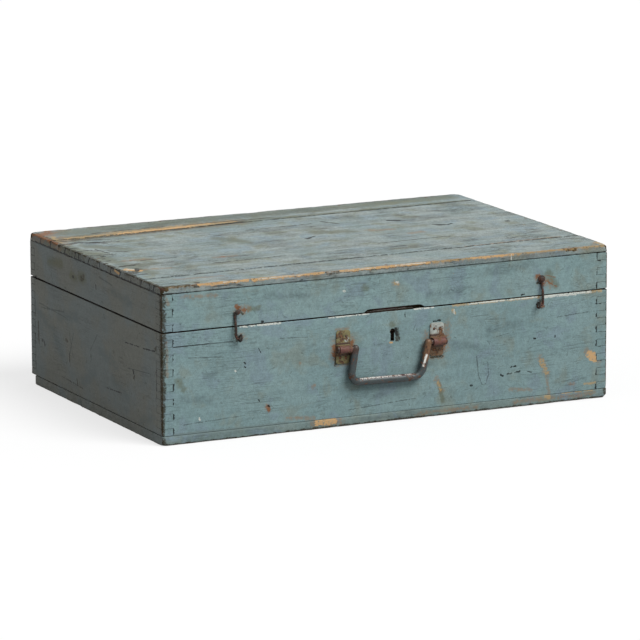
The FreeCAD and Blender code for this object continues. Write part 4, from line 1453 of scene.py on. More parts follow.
@dataclass
class Joiner:
    """Makes worn and painted boards for one part of the chest.

    Args:
        effects: The shared node groups.
        finish: The boards' finish.
        body: The CAD body that they ride on.
        slot: The name of a material slot; not used.
        arris: The rounding of outer arrises, in mm.
        strips: How many strips round them off.
        chamfer: The softening of joint edges, in mm.
        shading: The angle up to which a board is shaded smooth, in degrees.
    """

    effects: Effects
    finish: BoardFinish
    body: str
    slot: str
    arris: float = 2.2
    strips: int = 4
    chamfer: float = 0.38
    shading: float = 32.0

    def make(self, board: Board) -> bpy.types.Object:
        """Make one board.

        Args:
            board: The board to make.

        Returns:
            The finished piece, in place on its body.
        """
        piece = Bench.copy_of(board.node, "worn_" + board.node)
        if board.heel > 0.0:
            Bench.bevel(piece, Wear.on_heel, board.heel, self.strips + 1)
        Bench.bevel(piece, Wear.on_arris, self.arris, self.strips)
        Bench.bevel(piece, Wear.on_skin, self.chamfer, tag=SEAM)
        for axis, step in board.cuts:
            Bench.slice(piece, axis, step)
        Bench.press(piece, Wear.rub, Wear.deepest)
        if board.heel > 0.0:
            Bench.shift(piece, Wear.is_sunk, (0.0, 0.0, Wear.lift))
        self.dress(piece, board)
        return piece

    def dress(self, piece: bpy.types.Object, board: Board) -> None:
        """Give a board its material, and put it in its place in the frame.

        Args:
            piece: The board's piece.
            board: The board.
        """
        piece.data.materials.append(self.finish.material(
            self.effects, board.node, board.side, board.grain, board.marks))
        Bench.smooth(piece, self.shading)
        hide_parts(board.node)
        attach(piece, self.body)


# ------------------------ the base


WALL = 16.0
BASE_DIVISIONS = 14
LID_DIVISIONS = 5

# How near the joint between base and lid an edge lies, and how deep the lip that is
# lowered with it goes, in mm.
EDGE = 0.8
LIP = 4.0


def finger_marks(foot: float, head: float, divisions: int) -> Tuple[Mark, ...]:
    """The dark ends of the box joint's fingers on the front face.

    Args:
        foot: Where the lowest finger starts, in mm.
        head: Where the joint ends, in mm.
        divisions: How many fingers the two boards have between them.

    Returns:
        A ragged upright crack at each finger, trimmed unevenly, and a short one below
        some of them.
    """
    left_end, right_end = WALL - SHELL.half_width, SHELL.half_width - WALL
    pitch = (head - foot) / divisions
    rows: List[Stroke] = []
    for index in range((divisions + 1) // 2):
        low = foot + 2 * index * pitch
        high = low + pitch
        trim = 1.2 + (index * 5 % 3) * 0.9
        width = 0.85 + 0.15 * (index % 2)
        rows.append((left_end, low + trim, left_end + 0.6, high - 1.0, width, 1.1))
        rows.append((right_end - 0.8, low + 1.0, right_end, high - trim, 0.95, 1.2))
        if index % 3 != 1:
            rows.append((right_end, low + 0.4, right_end + 5.0 + trim, low + 0.2, 0.7, 1.0))
    return Face.FRONT.marks({Trace.CRACK: rows})


CORNER_DIRT = Face.FRONT.marks({
    Trace.DIRT: (
        (-329, 149, -328.5, 118, 6.0, 1.5), (-329, 116, -329.5, 62, 5.0, 1.6),
        (-329, 58, -329, 4, 3.8, 1.4), (329.5, 145, 329.5, 20, 2.0, 1.2)),
    Trace.HALO: ((-323, 138, -322, 92, 2.6, 1.6),),
})

MOUNT_HALOS = Face.FRONT.marks({
    Trace.HALO: (
        (-82, 94, -81, 116, 6.4, 1.8), (-56, 94, -55, 120, 5.4, 1.8),
        (-78, 84, -60, 84, 3.0, 1.2), (-77, 132, -60, 132, 2.6, 1.2), (84, 90, 86, 122, 7.4, 2.2),
        (56, 96, 54, 114, 6.0, 1.8), (61, 81, 80, 81, 3.6, 1.4)),
    Trace.RUST: (
        (-81, 98, -80.5, 110, 3.2, 1.2), (-55.5, 98, -55, 113, 2.8, 1.2),
        (82, 92, 83, 108, 3.0, 1.3)),
    Trace.DIRT: ((-79, 84, -79, 96, 1.5, 0.8), (62, 80.5, 80, 81, 1.3, 0.8)),
    Trace.CRACK: ((66, 129.5, 76, 129.8, 1.0, 0.9),),
})

# Around the keyhole: an olive stain above it and bared wood below it; the dark crack, dirt and
# scuff strokes to its right are painted shade of the hole's side wall.
KEYHOLE_STAIN_AND_SHADE = Face.FRONT.marks({
    Trace.STAIN: ((4, 131, 6, 130, 4.0, 1.1),),
    Trace.CRACK: ((9.5, 125, 11.5, 116, 1.7, 0.8),),
    Trace.DIRT: ((11, 124, 13, 110, 3.6, 1.0),),
    Trace.SCUFF: ((14, 126, 15, 108, 4.0, 1.0),),
    Trace.BARE: ((2.0, 107.2, 4.5, 106.8, 1.4, 0.7),),
})

# Along the walls' upper edge: tan bared wood, and pale worn paint that is partly a painted
# highlight where the edge catches the light.
JOINT_HIGHLIGHTS = Face.FRONT.marks({
    Trace.PALE: (
        (-217, 148.9, -196, 148.9, 1.6, 0.6), (-192, 148.9, -160, 149.0, 1.9, 0.6),
        (-88, 149.0, -30, 149.1, 1.3, 0.6), (38, 148.9, 66, 148.9, 1.6, 0.6),
        (120, 148.9, 222, 148.9, 1.3, 0.7), (234, 148.4, 282, 148.4, 2.7, 0.9),
        (284, 148.7, 304, 148.7, 1.9, 0.8)),
    Trace.TAN: ((96, 148.6, 226, 148.6, 2.0, 0.7), (298, 148.5, 320, 148.5, 2.2, 0.8)),
})

FRONT_WEAR = Face.FRONT.marks({
    Trace.DIRT: (
        # Dark blots inside the hook eyes and strokes along the hooks' legs: painted shadow of the
        # wires and eyes.
        (-222, 134, -217, 133, 4.0, 0.4), (226, 140, 229, 136, 4.4, 0.4),
        (-224.6, 150, -225, 139, 1.7, 0.5), (229.8, 150, 229, 140, 1.7, 0.5)),
    Trace.HALO: (
        (-215, 138, -211, 133, 4.4, 1.0), (-178, 37, -178, 38, 5.0, 1.4),
        (-131, 92, -131, 90, 2.2, 0.9), (-112, 58, -110, 60, 3.2, 1.4),
        (300, 66, 318, 52, 6.0, 2.0), (226, 66, 238, 42, 5.0, 1.6), (237, 44, 241, 14, 2.6, 1.2),
        (272, 25, 280, 23, 2.6, 1.2), (70, 52, 78, 36, 4.6, 1.6), (-150, 20, -110, 16, 3.4, 2.0),
        (180, 26, 214, 22, 3.0, 2.0)),
    Trace.CRACK: (
        (-216.1, 137.4, -215.4, 137, 1.6, 0.4), (-313, 130.5, -262, 130.5, 0.46, 0.2),
        (-177, 39.5, -176, 38.5, 1.3, 0.6), (-191, 49, -190, 47, 1.0, 0.5),
        (-212, 101, -210, 99, 1.0, 0.5), (-211, 95, -210, 94, 0.9, 0.5),
        (-191, 118, -188, 112, 0.6, 0.5), (218, 92, 220, 92, 1.3, 0.4),
        (250, 93, 250, 91, 0.8, 0.4), (168, 47, 171, 45, 1.4, 0.7),
        (178, 47, 197, 49.5, 0.7, 1.0), (208, 48, 214, 46, 0.7, 0.7),
        (183, 56, 190, 57, 0.8, 0.9), (122, 37, 124, 37, 1.2, 0.4),
        (23.5, 143.5, 24, 139.5, 0.7, 0.2)),
    Trace.RUST: ((230, 139, 230.5, 136, 2.6, 0.6), (-178, 38, -177, 35, 3.2, 1.0)),
    Trace.LINE: (
        (-313, 130.5, -228, 130.5, 0.8, 0.2), (-292, 114.5, -241, 111, 0.55, 0.3),
        (131, 76, 134, 50, 0.6, 0.3), (134, 50, 139, 37, 0.6, 0.3), (139, 37, 145, 37, 0.6, 0.3),
        (145, 37, 149, 50, 0.6, 0.3), (149, 50, 148, 66, 0.55, 0.3),
        (160, 100, 186, 104, 0.5, 0.4), (-160, 128, -120, 126, 0.5, 0.4),
        (-300, 26, -210, 30, 0.5, 0.4), (-60, 22, 40, 28, 0.5, 0.5),
        (250, 118, 300, 121, 0.5, 0.5)),
    Trace.PALE: (
        (-277, 33, -276, 30, 1.2, 0.5), (-225, 91, -224, 90, 1.3, 0.5),
        (97, 143, 97, 137, 0.8, 0.4)),
    Trace.BARE: ((304, 62, 311, 56, 5.6, 1.6),),
    Trace.TAN: (
        (229, 60, 237, 44, 3.4, 1.2), (296, 22, 312, 22, 1.8, 1.1), (73, 46, 77, 36, 1.8, 1.2),
        (95, 142, 98, 138, 2.2, 0.9)),
    Trace.STAIN: ((75, 44, 80, 20, 3.4, 1.6), (-306, 84, -300, 74, 5.0, 2.0)),
    Trace.SCUFF: (
        (-22, 36, -8, 37, 5.0, 1.6), (-20, 34, -16, 34, 2.6, 1.0), (40, 70, 62, 74, 5.0, 2.0),
        (150, 110, 196, 116, 7.0, 2.6), (96, 96, 130, 90, 6.0, 2.4),
        (-300, 60, -262, 56, 6.0, 2.4), (-268, 86, -250, 92, 4.0, 2.0),
        (-28, 72, -18, 74, 1.6, 1.1), (-128, 108, -112, 114, 3.0, 1.8)),
    Trace.FILLED: ((-330, SHELL.foot, -150, SHELL.foot, 2.4, 0.7),),
})

FRONT_MARKS = (MOUNT_HALOS + KEYHOLE_STAIN_AND_SHADE + JOINT_HIGHLIGHTS
               + finger_marks(SHELL.foot, SHELL.joint, BASE_DIVISIONS)
               + CORNER_DIRT + FRONT_WEAR)

LEFT_MARKS = CORNER_DIRT + Face.LEFT.marks({
    Trace.CRACK: (
        (-95, 117, -150, 119.5, 0.6, 0.7), (-160, 120, -198, 123, 0.9, 0.7),
        (-127, 84, -128, 80, 1.6, 0.6), (178, 68, 178, 66, 1.5, 0.5),
        (169, 63, 169, 62, 1.5, 0.5), (85.5, 66, 82.4, 50, 0.8, 0.6),
        (173, 69, 170, 63, 0.9, 0.6), (-202, 60, -202, 110, 0.5, 1.1),
        (202, 30, 202, 120, 0.6, 1.2), (-40, 44, -90, 46, 0.5, 0.7), (110, 30, 40, 27, 0.5, 0.7)),
    Trace.LINE: (
        (70, 97, 85, 64, 0.9, 0.4), (85, 97, 72, 64, 0.9, 0.4), (-10, 110, 14, 84, 0.8, 0.4),
        (-180, 90, -110, 84, 0.7, 0.4), (186, 118, 96, 114, 0.7, 0.4),
        (-130.7, 84, -130.6, 72, 1.2, 0.8), (178, 113, 102, 121, 0.9, 0.8)),
    Trace.DIRT: (
        (-203, 129, -199, 126, 2.6, 0.9), (60, 36, 58, 30, 2.0, 1.2), (96, 84, 90, 82, 1.8, 1.0),
        (85, 64, 84, 58, 1.6, 0.8), (191, 91, 190, 62, 2.2, 1.4), (-132, 78, -128, 74, 1.4, 0.8)),
    Trace.SCUFF: (
        (120, 110, 60, 122, 9.0, 4.0), (-20, 90, -70, 80, 9.0, 4.0),
        (140, 90, 110, 60, 10.0, 5.0), (-150, 20, -190, 34, 8.0, 4.0),
        # The strip along Y = -214 makes the left end darker next to its front arris.
        (-214, 140, -214, 10, 3.4, 1.6), (40, 36, 0, 56, 9.0, 4.0), (-60, 60, -110, 44, 8.0, 4.0),
        (200, 110, 150, 90, 8.0, 4.0)),
})

BACK_MARKS = Face.REAR.marks({
    Trace.CRACK: ((60, 92, 190, 90, 0.8, 0.5),),
    Trace.BARE: ((-250, 30, -240, 32, 4.0, 1.8),),
    Trace.SCUFF: ((-60, 110, -90, 60, 1.4, 0.7),),
    Trace.RUST: ((210, 118, 214, 116, 2.4, 0.9),),
})

RIGHT_MARKS = Face.RIGHT.marks({
    Trace.CRACK: ((-150, 96, -40, 99, 0.8, 0.6),),
    Trace.SCUFF: ((60, 40, 120, 62, 1.2, 0.6),),
    Trace.BARE: ((168, 22, 176, 24, 3.0, 1.4),),
})

FOOT_MARKS = Face.FRONT.marks({
    Trace.FILLED: ((-330, SHELL.foot, -150, SHELL.foot, 2.4, 0.6),),
    Trace.HALO: (
        (-112, 9, -72, 8.0, 6.4, 2.0), (40, 6, 132, 7, 3.4, 1.8), (190, 8, 250, 8, 3.8, 1.9),
        (256, 7, 312, 8, 3.6, 1.9)),
    Trace.BARE: ((-105, 9.5, -82, 9, 4.4, 1.4),),
    Trace.TAN: ((236, 10, 242, 9, 2.6, 1.0), (262, 13, 310, 14, 1.6, 1.2)),
    Trace.SCUFF: ((-300, 8, -170, 8, 3.6, 2.0), (-40, 7, 40, 8, 3.6, 2.0)),
    Trace.DIRT: (
        # Darker along the foot's lowest edge and at its two lower ends.
        (-327, 0.8, -180, 0.8, 1.8, 1.0), (-150, 0.8, 326, 0.8, 2.6, 1.2),
        (327, 11, 328, 2, 2.4, 0.9), (-328, 12, -327, 3, 2.4, 0.9)),
})

BASE_PAINT = BoardFinish("base_paint")
FOOT_PAINT = BoardFinish("foot_paint", paint=(0.162, 0.222, 0.216), faded=(0.192, 0.244, 0.230),
                         streak=0.5, stripe=0.12, mottle=0.7, specks=0.6, hold=1.6,
                         clean=10.0)


@dataclass
class Base:
    """The base: four box-jointed walls and three boards nailed on under them.

    Args:
        effects: The shared node groups.
        gap: How far the walls' upper edges stand back from the joint, in mm.
        wedge: How much wider the joint is at the back left corner, in mm.
        wedge_start: Where along Y the joint begins to widen, in mm.
        wedge_steps: The steps in which it widens, as shares of the way to the corner.
        walls: The four walls.
        floor: The three boards under them.
    """

    effects: Effects
    gap: float = 0.75
    wedge: float = 1.5
    wedge_start: float = 186.0
    wedge_steps: Tuple[float, ...] = (0.25, 0.5, 0.75)
    walls: Tuple[Board, ...] = (
        Board("base_front_board", Side.WALLS, Grain.LENGTHWISE, FRONT_MARKS),
        Board("base_back_board", Side.WALLS, Grain.LENGTHWISE, BACK_MARKS),
        Board("base_left_board", Side.WALLS, Grain.CROSSWISE, LEFT_MARKS, ((1, 6.0),)),
        Board("base_right_board", Side.WALLS, Grain.CROSSWISE, RIGHT_MARKS, ((1, 6.0),)),
    )
    floor: Tuple[Board, ...] = (
        Board("bottom_front_board", Side.BOTTOM, Grain.LENGTHWISE, FOOT_MARKS,
              ((0, 6.0), (1, 8.0)), 10.5),
        Board("bottom_middle_board", Side.BOTTOM, Grain.LENGTHWISE, (),
              ((0, 12.0), (1, 8.0)), 7.0),
        Board("bottom_back_board", Side.BOTTOM, Grain.LENGTHWISE, (),
              ((0, 12.0), (1, 8.0)), 5.0),
    )

    def build(self) -> List[bpy.types.Object]:
        """Make every board of the base.

        Returns:
            The boards.
        """
        joiner = Joiner(self.effects, BASE_PAINT, "chest", "base_paint")
        made = [joiner.make(board) for board in self.walls]
        for piece in made:
            Bench.shift(piece, self.upper_edge, (0.0, 0.0, -self.gap))
        _front, _back, left, _right = made
        self.widen(left)
        joiner = Joiner(self.effects, FOOT_PAINT, "chest", "bottom_paint")
        return made + [joiner.make(board) for board in self.floor]

    def widen(self, wall: bpy.types.Object) -> None:
        """Let the left wall's upper edge fall away towards the back.

        Args:
            wall: The left wall.
        """
        drop = self.wedge / len(self.wedge_steps)
        for share in self.wedge_steps:
            start = self.wedge_start + (SHELL.half_depth - self.wedge_start) * share
            Bench.shift(wall, lambda point, start=start: (
                point.z > SHELL.joint - LIP and point.y > start), (0.0, 0.0, -drop))

    @staticmethod
    def upper_edge(point: Vector) -> bool:
        """Whether a point lies on the walls' upper edge."""
        return point.z > SHELL.joint - EDGE


# ------------------------ the lid


DECK_LINE_FILLED = Face.FRONT.mark(Trace.FILLED, -92, SHELL.deck, 172, SHELL.deck, 1.5, 1.6)
# Rust stains around the hooks' screws; the dark strokes along the wires are painted shadow of the
# wires.
HOOK_RUST_AND_SHADOW = Face.FRONT.marks({
    Trace.DIRT: (
        (-223.5, 165, -224.6, 151, 1.8, 0.6), (230.6, 168, 229.8, 151, 1.8, 0.6),
        (-220, 175, -214, 166, 2.0, 1.0), (222, 168, 231, 166, 1.8, 1.0)),
    Trace.HALO: ((-222, 170, -208, 171, 7.0, 2.2), (226, 172, 240, 166, 8.4, 2.7)),
    Trace.RUST: (
        (-222, 176, -210, 170, 3.2, 1.4), (224, 176, 232, 168, 3.8, 1.4),
        (236, 177, 250, 173, 0.8, 0.8), (238, 168, 252, 160, 0.8, 0.8)),
    Trace.STAIN: ((-206, 170, -190, 172, 3.4, 1.4), (238, 178, 250, 164, 6.0, 2.2)),
    Trace.CRACK: ((199, 153.5, 203, 154, 1.1, 0.7),),
})

LID_CORNER_DIRT = Face.FRONT.marks({
    Trace.DIRT: ((-329, 198, -329, 152, 5.4, 1.5), (329.5, 198, 329.5, 154, 2.0, 1.2)),
    Trace.HALO: ((-323, 200, -320, 188, 3.0, 1.6),),
})

LID_FRONT_WEAR = Face.FRONT.marks({
    Trace.HALO: ((6, 188, 13, 184, 4.0, 1.4), (-300, 196, -250, 194, 3.4, 2.2)),
    Trace.TAN: ((8, 187, 12, 185, 2.8, 1.2),),
    Trace.PALE: ((10, 188, 13, 187, 1.3, 0.9), (-67, 183, -65, 183, 1.6, 1.0)),
    Trace.STAIN: ((-36, 185, -34, 184, 4.5, 1.4),),
    Trace.CRACK: ((-186, 152.8, -184, 152.8, 1.4, 0.4),),
    Trace.SCUFF: (
        (150, 190, 214, 195, 7.0, 2.4), (60, 166, 110, 170, 6.0, 2.4),
        (-180, 186, -120, 182, 6.0, 2.4), (-2, 163, 30, 160, 1.6, 1.4)),
})

LID_FRONT_MARKS = (HOOK_RUST_AND_SHADOW + finger_marks(SHELL.joint, SHELL.deck, LID_DIVISIONS)
                   + LID_CORNER_DIRT + (DECK_LINE_FILLED,) + LID_FRONT_WEAR)

LID_LEFT_MARKS = LID_CORNER_DIRT + Face.LEFT.marks({
    Trace.STAIN: (
        (33, 179, 45, 179, 8.0, 2.0), (60, 174, 76, 176, 6.0, 1.8),
        (150, 182, 110, 186, 7.0, 3.0)),
    Trace.DIRT: ((34, 180, 41, 178, 4.2, 1.4),),
    Trace.CRACK: (
        (68, 175, 69, 175, 2.2, 0.7), (-7, 177, -8, 171, 1.0, 0.6),
        (197, 152, 199, 151, 2.5, 0.5)),
    # The strip along Y = -214 makes the lid's left end darker next to its front arris.
    Trace.SCUFF: ((-60, 178, -120, 172, 8.0, 3.0), (-214, 198, -214, 152, 3.4, 1.6)),
    Trace.LINE: ((-20, 190, -60, 186, 0.8, 0.6),),
})

FRONT_SEAM = (-156.0, -140.0)
BACK_SEAM = (146.0, 162.0)


def deck_seam(ends: Tuple[float, float]) -> Mark:
    """The dark line along a seam of the top, from the Y places of its two ends."""
    return Face.UPPER.mark(Trace.CRACK, -SHELL.half_width, ends[0], SHELL.half_width, ends[1],
                           1.7, 1.2)


END_TICKS = tuple(
    Face.LEFT.mark(Trace.CRACK, place, 209.5, place + lean, 201.5, 1.3, 0.9)
    for place, lean in ((178.0, 2.0), (143.7, 3.0), (118.0, -1.0), (94.0, 4.0), (60.0, 3.0),
                        (49.0, 1.0), (14.0, 4.0), (-20.0, -2.0), (-58.0, 2.0), (-90.0, 5.0),
                        (-122.0, -1.5), (-156.0, 2.0), (-181.0, -3.0), (-197.0, 4.0))
) + Face.UPPER.marks({
    Trace.DIRT: ((-328, -214, -327.5, -30, 2.8, 2.4), (-328, -25, -328, 120, 2.6, 2.4)),
    Trace.RUST: ((-328, 125, -328, 205, 3.4, 1.8),),
}) + Face.LEFT.marks({
    Trace.DIRT: ((-216, 210.4, 150, 210.4, 1.0, 0.8),),
    Trace.CRACK: ((-214, 201.2, 60, 201.2, 1.0, 0.8), (70, 201.2, 200, 201.2, 1.2, 0.9)),
    Trace.BARE: ((-70, 208, -84, 206, 1.4, 0.8),),
})

END_SPLITS = tuple(
    Face.UPPER.mark(Trace.CRACK, -329, place, -329 + reach, place + lean, 1.7, 1.2)
    for place, reach, lean in ((137.0, 16.0, -3.0), (112.0, 34.0, 2.0), (84.0, 12.0, -2.0),
                               (58.0, 24.0, 3.0), (24.0, 40.0, -4.0), (-22.0, 14.0, 2.0),
                               (-62.0, 30.0, -2.0), (-126.0, 22.0, 3.0))
)

DECK_FRONT_MARKS = END_TICKS + (deck_seam(FRONT_SEAM), DECK_LINE_FILLED) + Face.UPPER.marks({
    Trace.HALO: (
        (-318, -216.5, 322, -216.5, 5.0, 1.6), (-250, -143, -236, -143, 4.0, 1.6),
        (-290, -176, -226, -180, 5.0, 2.0), (312, -212, 328, -190, 5.0, 1.6)),
    Trace.BARE: (
        (-275, -217.3, -205, -217.3, 2.8, 1.4), (-198, -217.3, -140, -217.3, 3.0, 1.3),
        (-134, -217.3, -96, -217.3, 2.4, 1.3), (-70, -217.3, 60, -217.3, 2.8, 1.3),
        (124, -217.3, 186, -217.3, 2.6, 1.3)),
    Trace.TAN: (
        (66, -217.3, 120, -217.3, 2.4, 1.3), (190, -217.3, 262, -217.3, 2.2, 1.4),
        (266, -217.3, 324, -217.3, 2.4, 1.5), (-322, -216, -292, -216.5, 2.6, 1.4),
        (326, -214, 327, -194, 4.6, 1.4)),
    # Pale bits on the top's front arris: worn paint, partly a painted highlight where the arris
    # faces the light.
    Trace.PALE: (
        (-240, -217.8, -222, -217.8, 1.2, 0.8), (-190, -217.8, -124, -217.8, 1.3, 0.9),
        (-60, -217.8, -20, -217.8, 1.2, 0.9), (10, -217.8, 54, -217.8, 1.1, 0.9)),
    Trace.DIRT: ((-327, -214, -290, -215, 4.0, 1.8), (328, -190, 328, -140, 1.8, 1.4)),
    Trace.CRACK: ((-257, -144, -208, -145, 0.8, 0.5), (-276.5, -206.6, -272, -207, 2.4, 0.8)),
    Trace.SCUFF: ((-90, -208, -70, -209, 6.0, 2.0),),
}) + Face.FRONT.marks({
    Trace.DIRT: ((-282, 208, -276, 207.6, 1.6, 0.8), (-92, 207.6, 60, 208.0, 0.8, 0.7)),
    Trace.SCUFF: ((-150, 204, -40, 204, 2.2, 1.0), (200, 206, 262, 206, 3.0, 1.6)),
    Trace.PALE: ((183, 210, 183, 203, 0.7, 0.2),),
})

# Pale wood bared along the back seam, with a sallow border.
SEAM_WOOD = Face.UPPER.marks({
    Trace.STAIN: (
        (-318, 150, -210, 150, 24.0, 4.0), (-210, 150, -30, 160, 19.0, 4.0),
        (-30, 160, 310, 163, 6.0, 3.0)),
    Trace.HALO: (
        (-306, 148, -215, 152, 15.0, 2.4), (-215, 152, -50, 163, 20.0, 2.6),
        (-326, 176, -300, 214, 20.0, 6.0), (-326, 118, -310, 160, 16.0, 5.0)),
    Trace.TAN: (
        (-296, 149, -215, 154, 9.0, 2.2), (-235, 155, -110, 162, 13.0, 2.2),
        (-110, 162, -54, 165, 9.0, 2.2), (-325, 126, -316, 172, 5.0, 4.0)),
    Trace.BARE: ((-225, 152, -120, 158, 4.6, 2.0), (-118, 163, -84, 165, 2.8, 1.4)),
    Trace.DIRT: (
        (-300, 139, -150, 144, 3.6, 2.0), (-150, 144, -40, 156, 4.0, 2.0),
        (-120, 171, 10, 168, 2.4, 1.6), (-260, 170, -150, 173, 2.2, 2.0),
        (-327, 108, -325, 204, 4.0, 2.4)),
    Trace.CRACK: (
        (-112, 150, -30, 160, 1.6, 1.0), (-306, 124, -268, 96, 1.8, 1.2),
        (-296, 112, -252, 108, 1.4, 1.2), (-282, 128, -236, 116, 1.4, 1.2)),
    Trace.RUST: ((-322, 190, -308, 206, 9.0, 5.0),),
})

DECK_WEAR = Face.UPPER.marks({
    Trace.HALO: (
        (155, -143, 300, -136, 4.0, 2.0), (-180, -62, -150, -60, 6.0, 2.4),
        (-296, -29, -262, -33, 7.0, 3.0), (132, -24, 150, -22, 7.0, 3.0),
        (-300, -96, -262, -100, 6.0, 3.0), (90, 20, 120, 14, 8.0, 5.0)),
    Trace.RUST: ((-173, -62, -168, -62, 2.6, 1.4), (-290, -29, -284, -29, 2.4, 1.2)),
    Trace.CRACK: (
        (148, 74, 158, 68, 4.6, 0.9), (190, 20, 205, 10, 2.6, 1.4), (205, 10, 214, 16, 2.4, 1.2),
        (194, 12.5, 196, 12, 3.6, 0.8), (291, -3, 292, -3, 3.6, 0.8), (60, 110, 74, 84, 1.8, 1.2),
        (228, 116, 262, 96, 1.6, 1.2), (-313, 11, -308, 12, 2.4, 0.8),
        (-318, -4, -316, -4, 2.0, 0.7), (-311, -100, -306, -88, 3.4, 0.8),
        (-280, -37, -227, -38, 1.3, 0.8), (-300, 62, -292, 20, 1.1, 1.2),
        (5, 15, -14, 4, 1.6, 0.8), (-12, 1, -2, 10, 1.2, 0.8), (-60, 96, 40, 100, 1.4, 1.0),
        (60, -70, 170, -66, 1.4, 1.0), (-200, -96, -90, -92, 1.4, 1.0)),
    Trace.DIRT: (
        (328, -120, 328, 140, 1.8, 1.8), (-324, -112, -308, -90, 8.0, 2.0),
        (-316, 118, -250, 100, 2.2, 2.0), (-308, 60, -270, 30, 2.2, 2.0),
        (-322, -66, -290, -56, 3.0, 2.0)),
    Trace.BARE: ((-320, -84, -308, -100, 5.6, 1.2),),
    Trace.PALE: ((-316, -84, -306, -90, 3.0, 1.2),),
    Trace.STAIN: (
        (-300, 90, -262, 44, 13.0, 6.0), (-306, -70, -270, -60, 11.0, 5.0),
        (-120, 60, -96, 20, 12.0, 6.0), (20, 40, 60, 28, 12.0, 7.0),
        (-328, 110, -300, -120, 12.0, 5.0)),
})

DECK_MIDDLE_MARKS = (END_TICKS + END_SPLITS + SEAM_WOOD
                     + (deck_seam(FRONT_SEAM), deck_seam(BACK_SEAM)) + DECK_WEAR)

DECK_BACK_MARKS = END_TICKS + SEAM_WOOD + (deck_seam(BACK_SEAM),) + Face.UPPER.marks({
    Trace.DIRT: ((-250, 216, -60, 216, 3.4, 2.0), (60, 216.5, 300, 216.5, 2.2, 2.0)),
    Trace.STAIN: ((-290, 194, -60, 198, 22.0, 6.0), (-40, 196, 300, 198, 18.0, 6.0)),
    Trace.SCUFF: ((-220, 190, 120, 194, 12.0, 6.0),),
})

LID_PAINT = BoardFinish("lid_paint", paint=(0.206, 0.304, 0.308),
                        faded=(0.225, 0.305, 0.302), raw=(0.085, 0.035, 0.032))
DECK_PAINT = BoardFinish("deck_paint", paint=(0.200, 0.254, 0.250), faded=(0.272, 0.315, 0.305),
                         cool=(0.222, 0.282, 0.298), sallow=(0.205, 0.232, 0.196),
                         streak=0.9, vein=0.05, stripe=0.16, mottle=0.9, grit=0.17,
                         specks=0.6, rubbed=1.4, clean=9.0)


@dataclass
class Lid:
    """The lid: four box-jointed rails and three lengthwise boards nailed on them.

    Args:
        effects: The shared node groups.
        gap: How far the rails' lower edges stand back from the joint, in mm.
        rails: The four rails.
        deck: The three boards on them.
    """

    effects: Effects
    gap: float = 0.65
    rails: Tuple[Board, ...] = (
        Board("lid_front_rail", Side.WALLS, Grain.LENGTHWISE, LID_FRONT_MARKS),
        Board("lid_back_rail", Side.WALLS, Grain.LENGTHWISE),
        Board("lid_left_rail", Side.WALLS, Grain.CROSSWISE, LID_LEFT_MARKS, ((1, 6.0),)),
        Board("lid_right_rail", Side.WALLS, Grain.CROSSWISE, (), ((1, 6.0),)),
    )
    deck: Tuple[Board, ...] = (
        Board("top_front_board", Side.TOP, Grain.LENGTHWISE, DECK_FRONT_MARKS,
              ((0, 5.0), (1, 6.0))),
        Board("top_middle_board", Side.TOP, Grain.LENGTHWISE, DECK_MIDDLE_MARKS,
              ((0, 6.0), (1, 7.0))),
        Board("top_back_board", Side.TOP, Grain.LENGTHWISE, DECK_BACK_MARKS,
              ((0, 6.0), (1, 6.0))),
    )

    def build(self) -> List[bpy.types.Object]:
        """Make every board of the lid.

        Returns:
            The boards.
        """
        joiner = Joiner(self.effects, LID_PAINT, "lid", "lid_paint")
        made = [joiner.make(board) for board in self.rails]
        for piece in made:
            Bench.shift(piece, self.lower_edge, (0.0, 0.0, self.gap))
        joiner = Joiner(self.effects, DECK_PAINT, "lid", "top_paint")
        return made + [joiner.make(board) for board in self.deck]

    @staticmethod
    def lower_edge(point: Vector) -> bool:
        """Whether a point lies on the rails' lower edge."""
        return point.z < SHELL.joint + EDGE


# ------------------------ ironwork


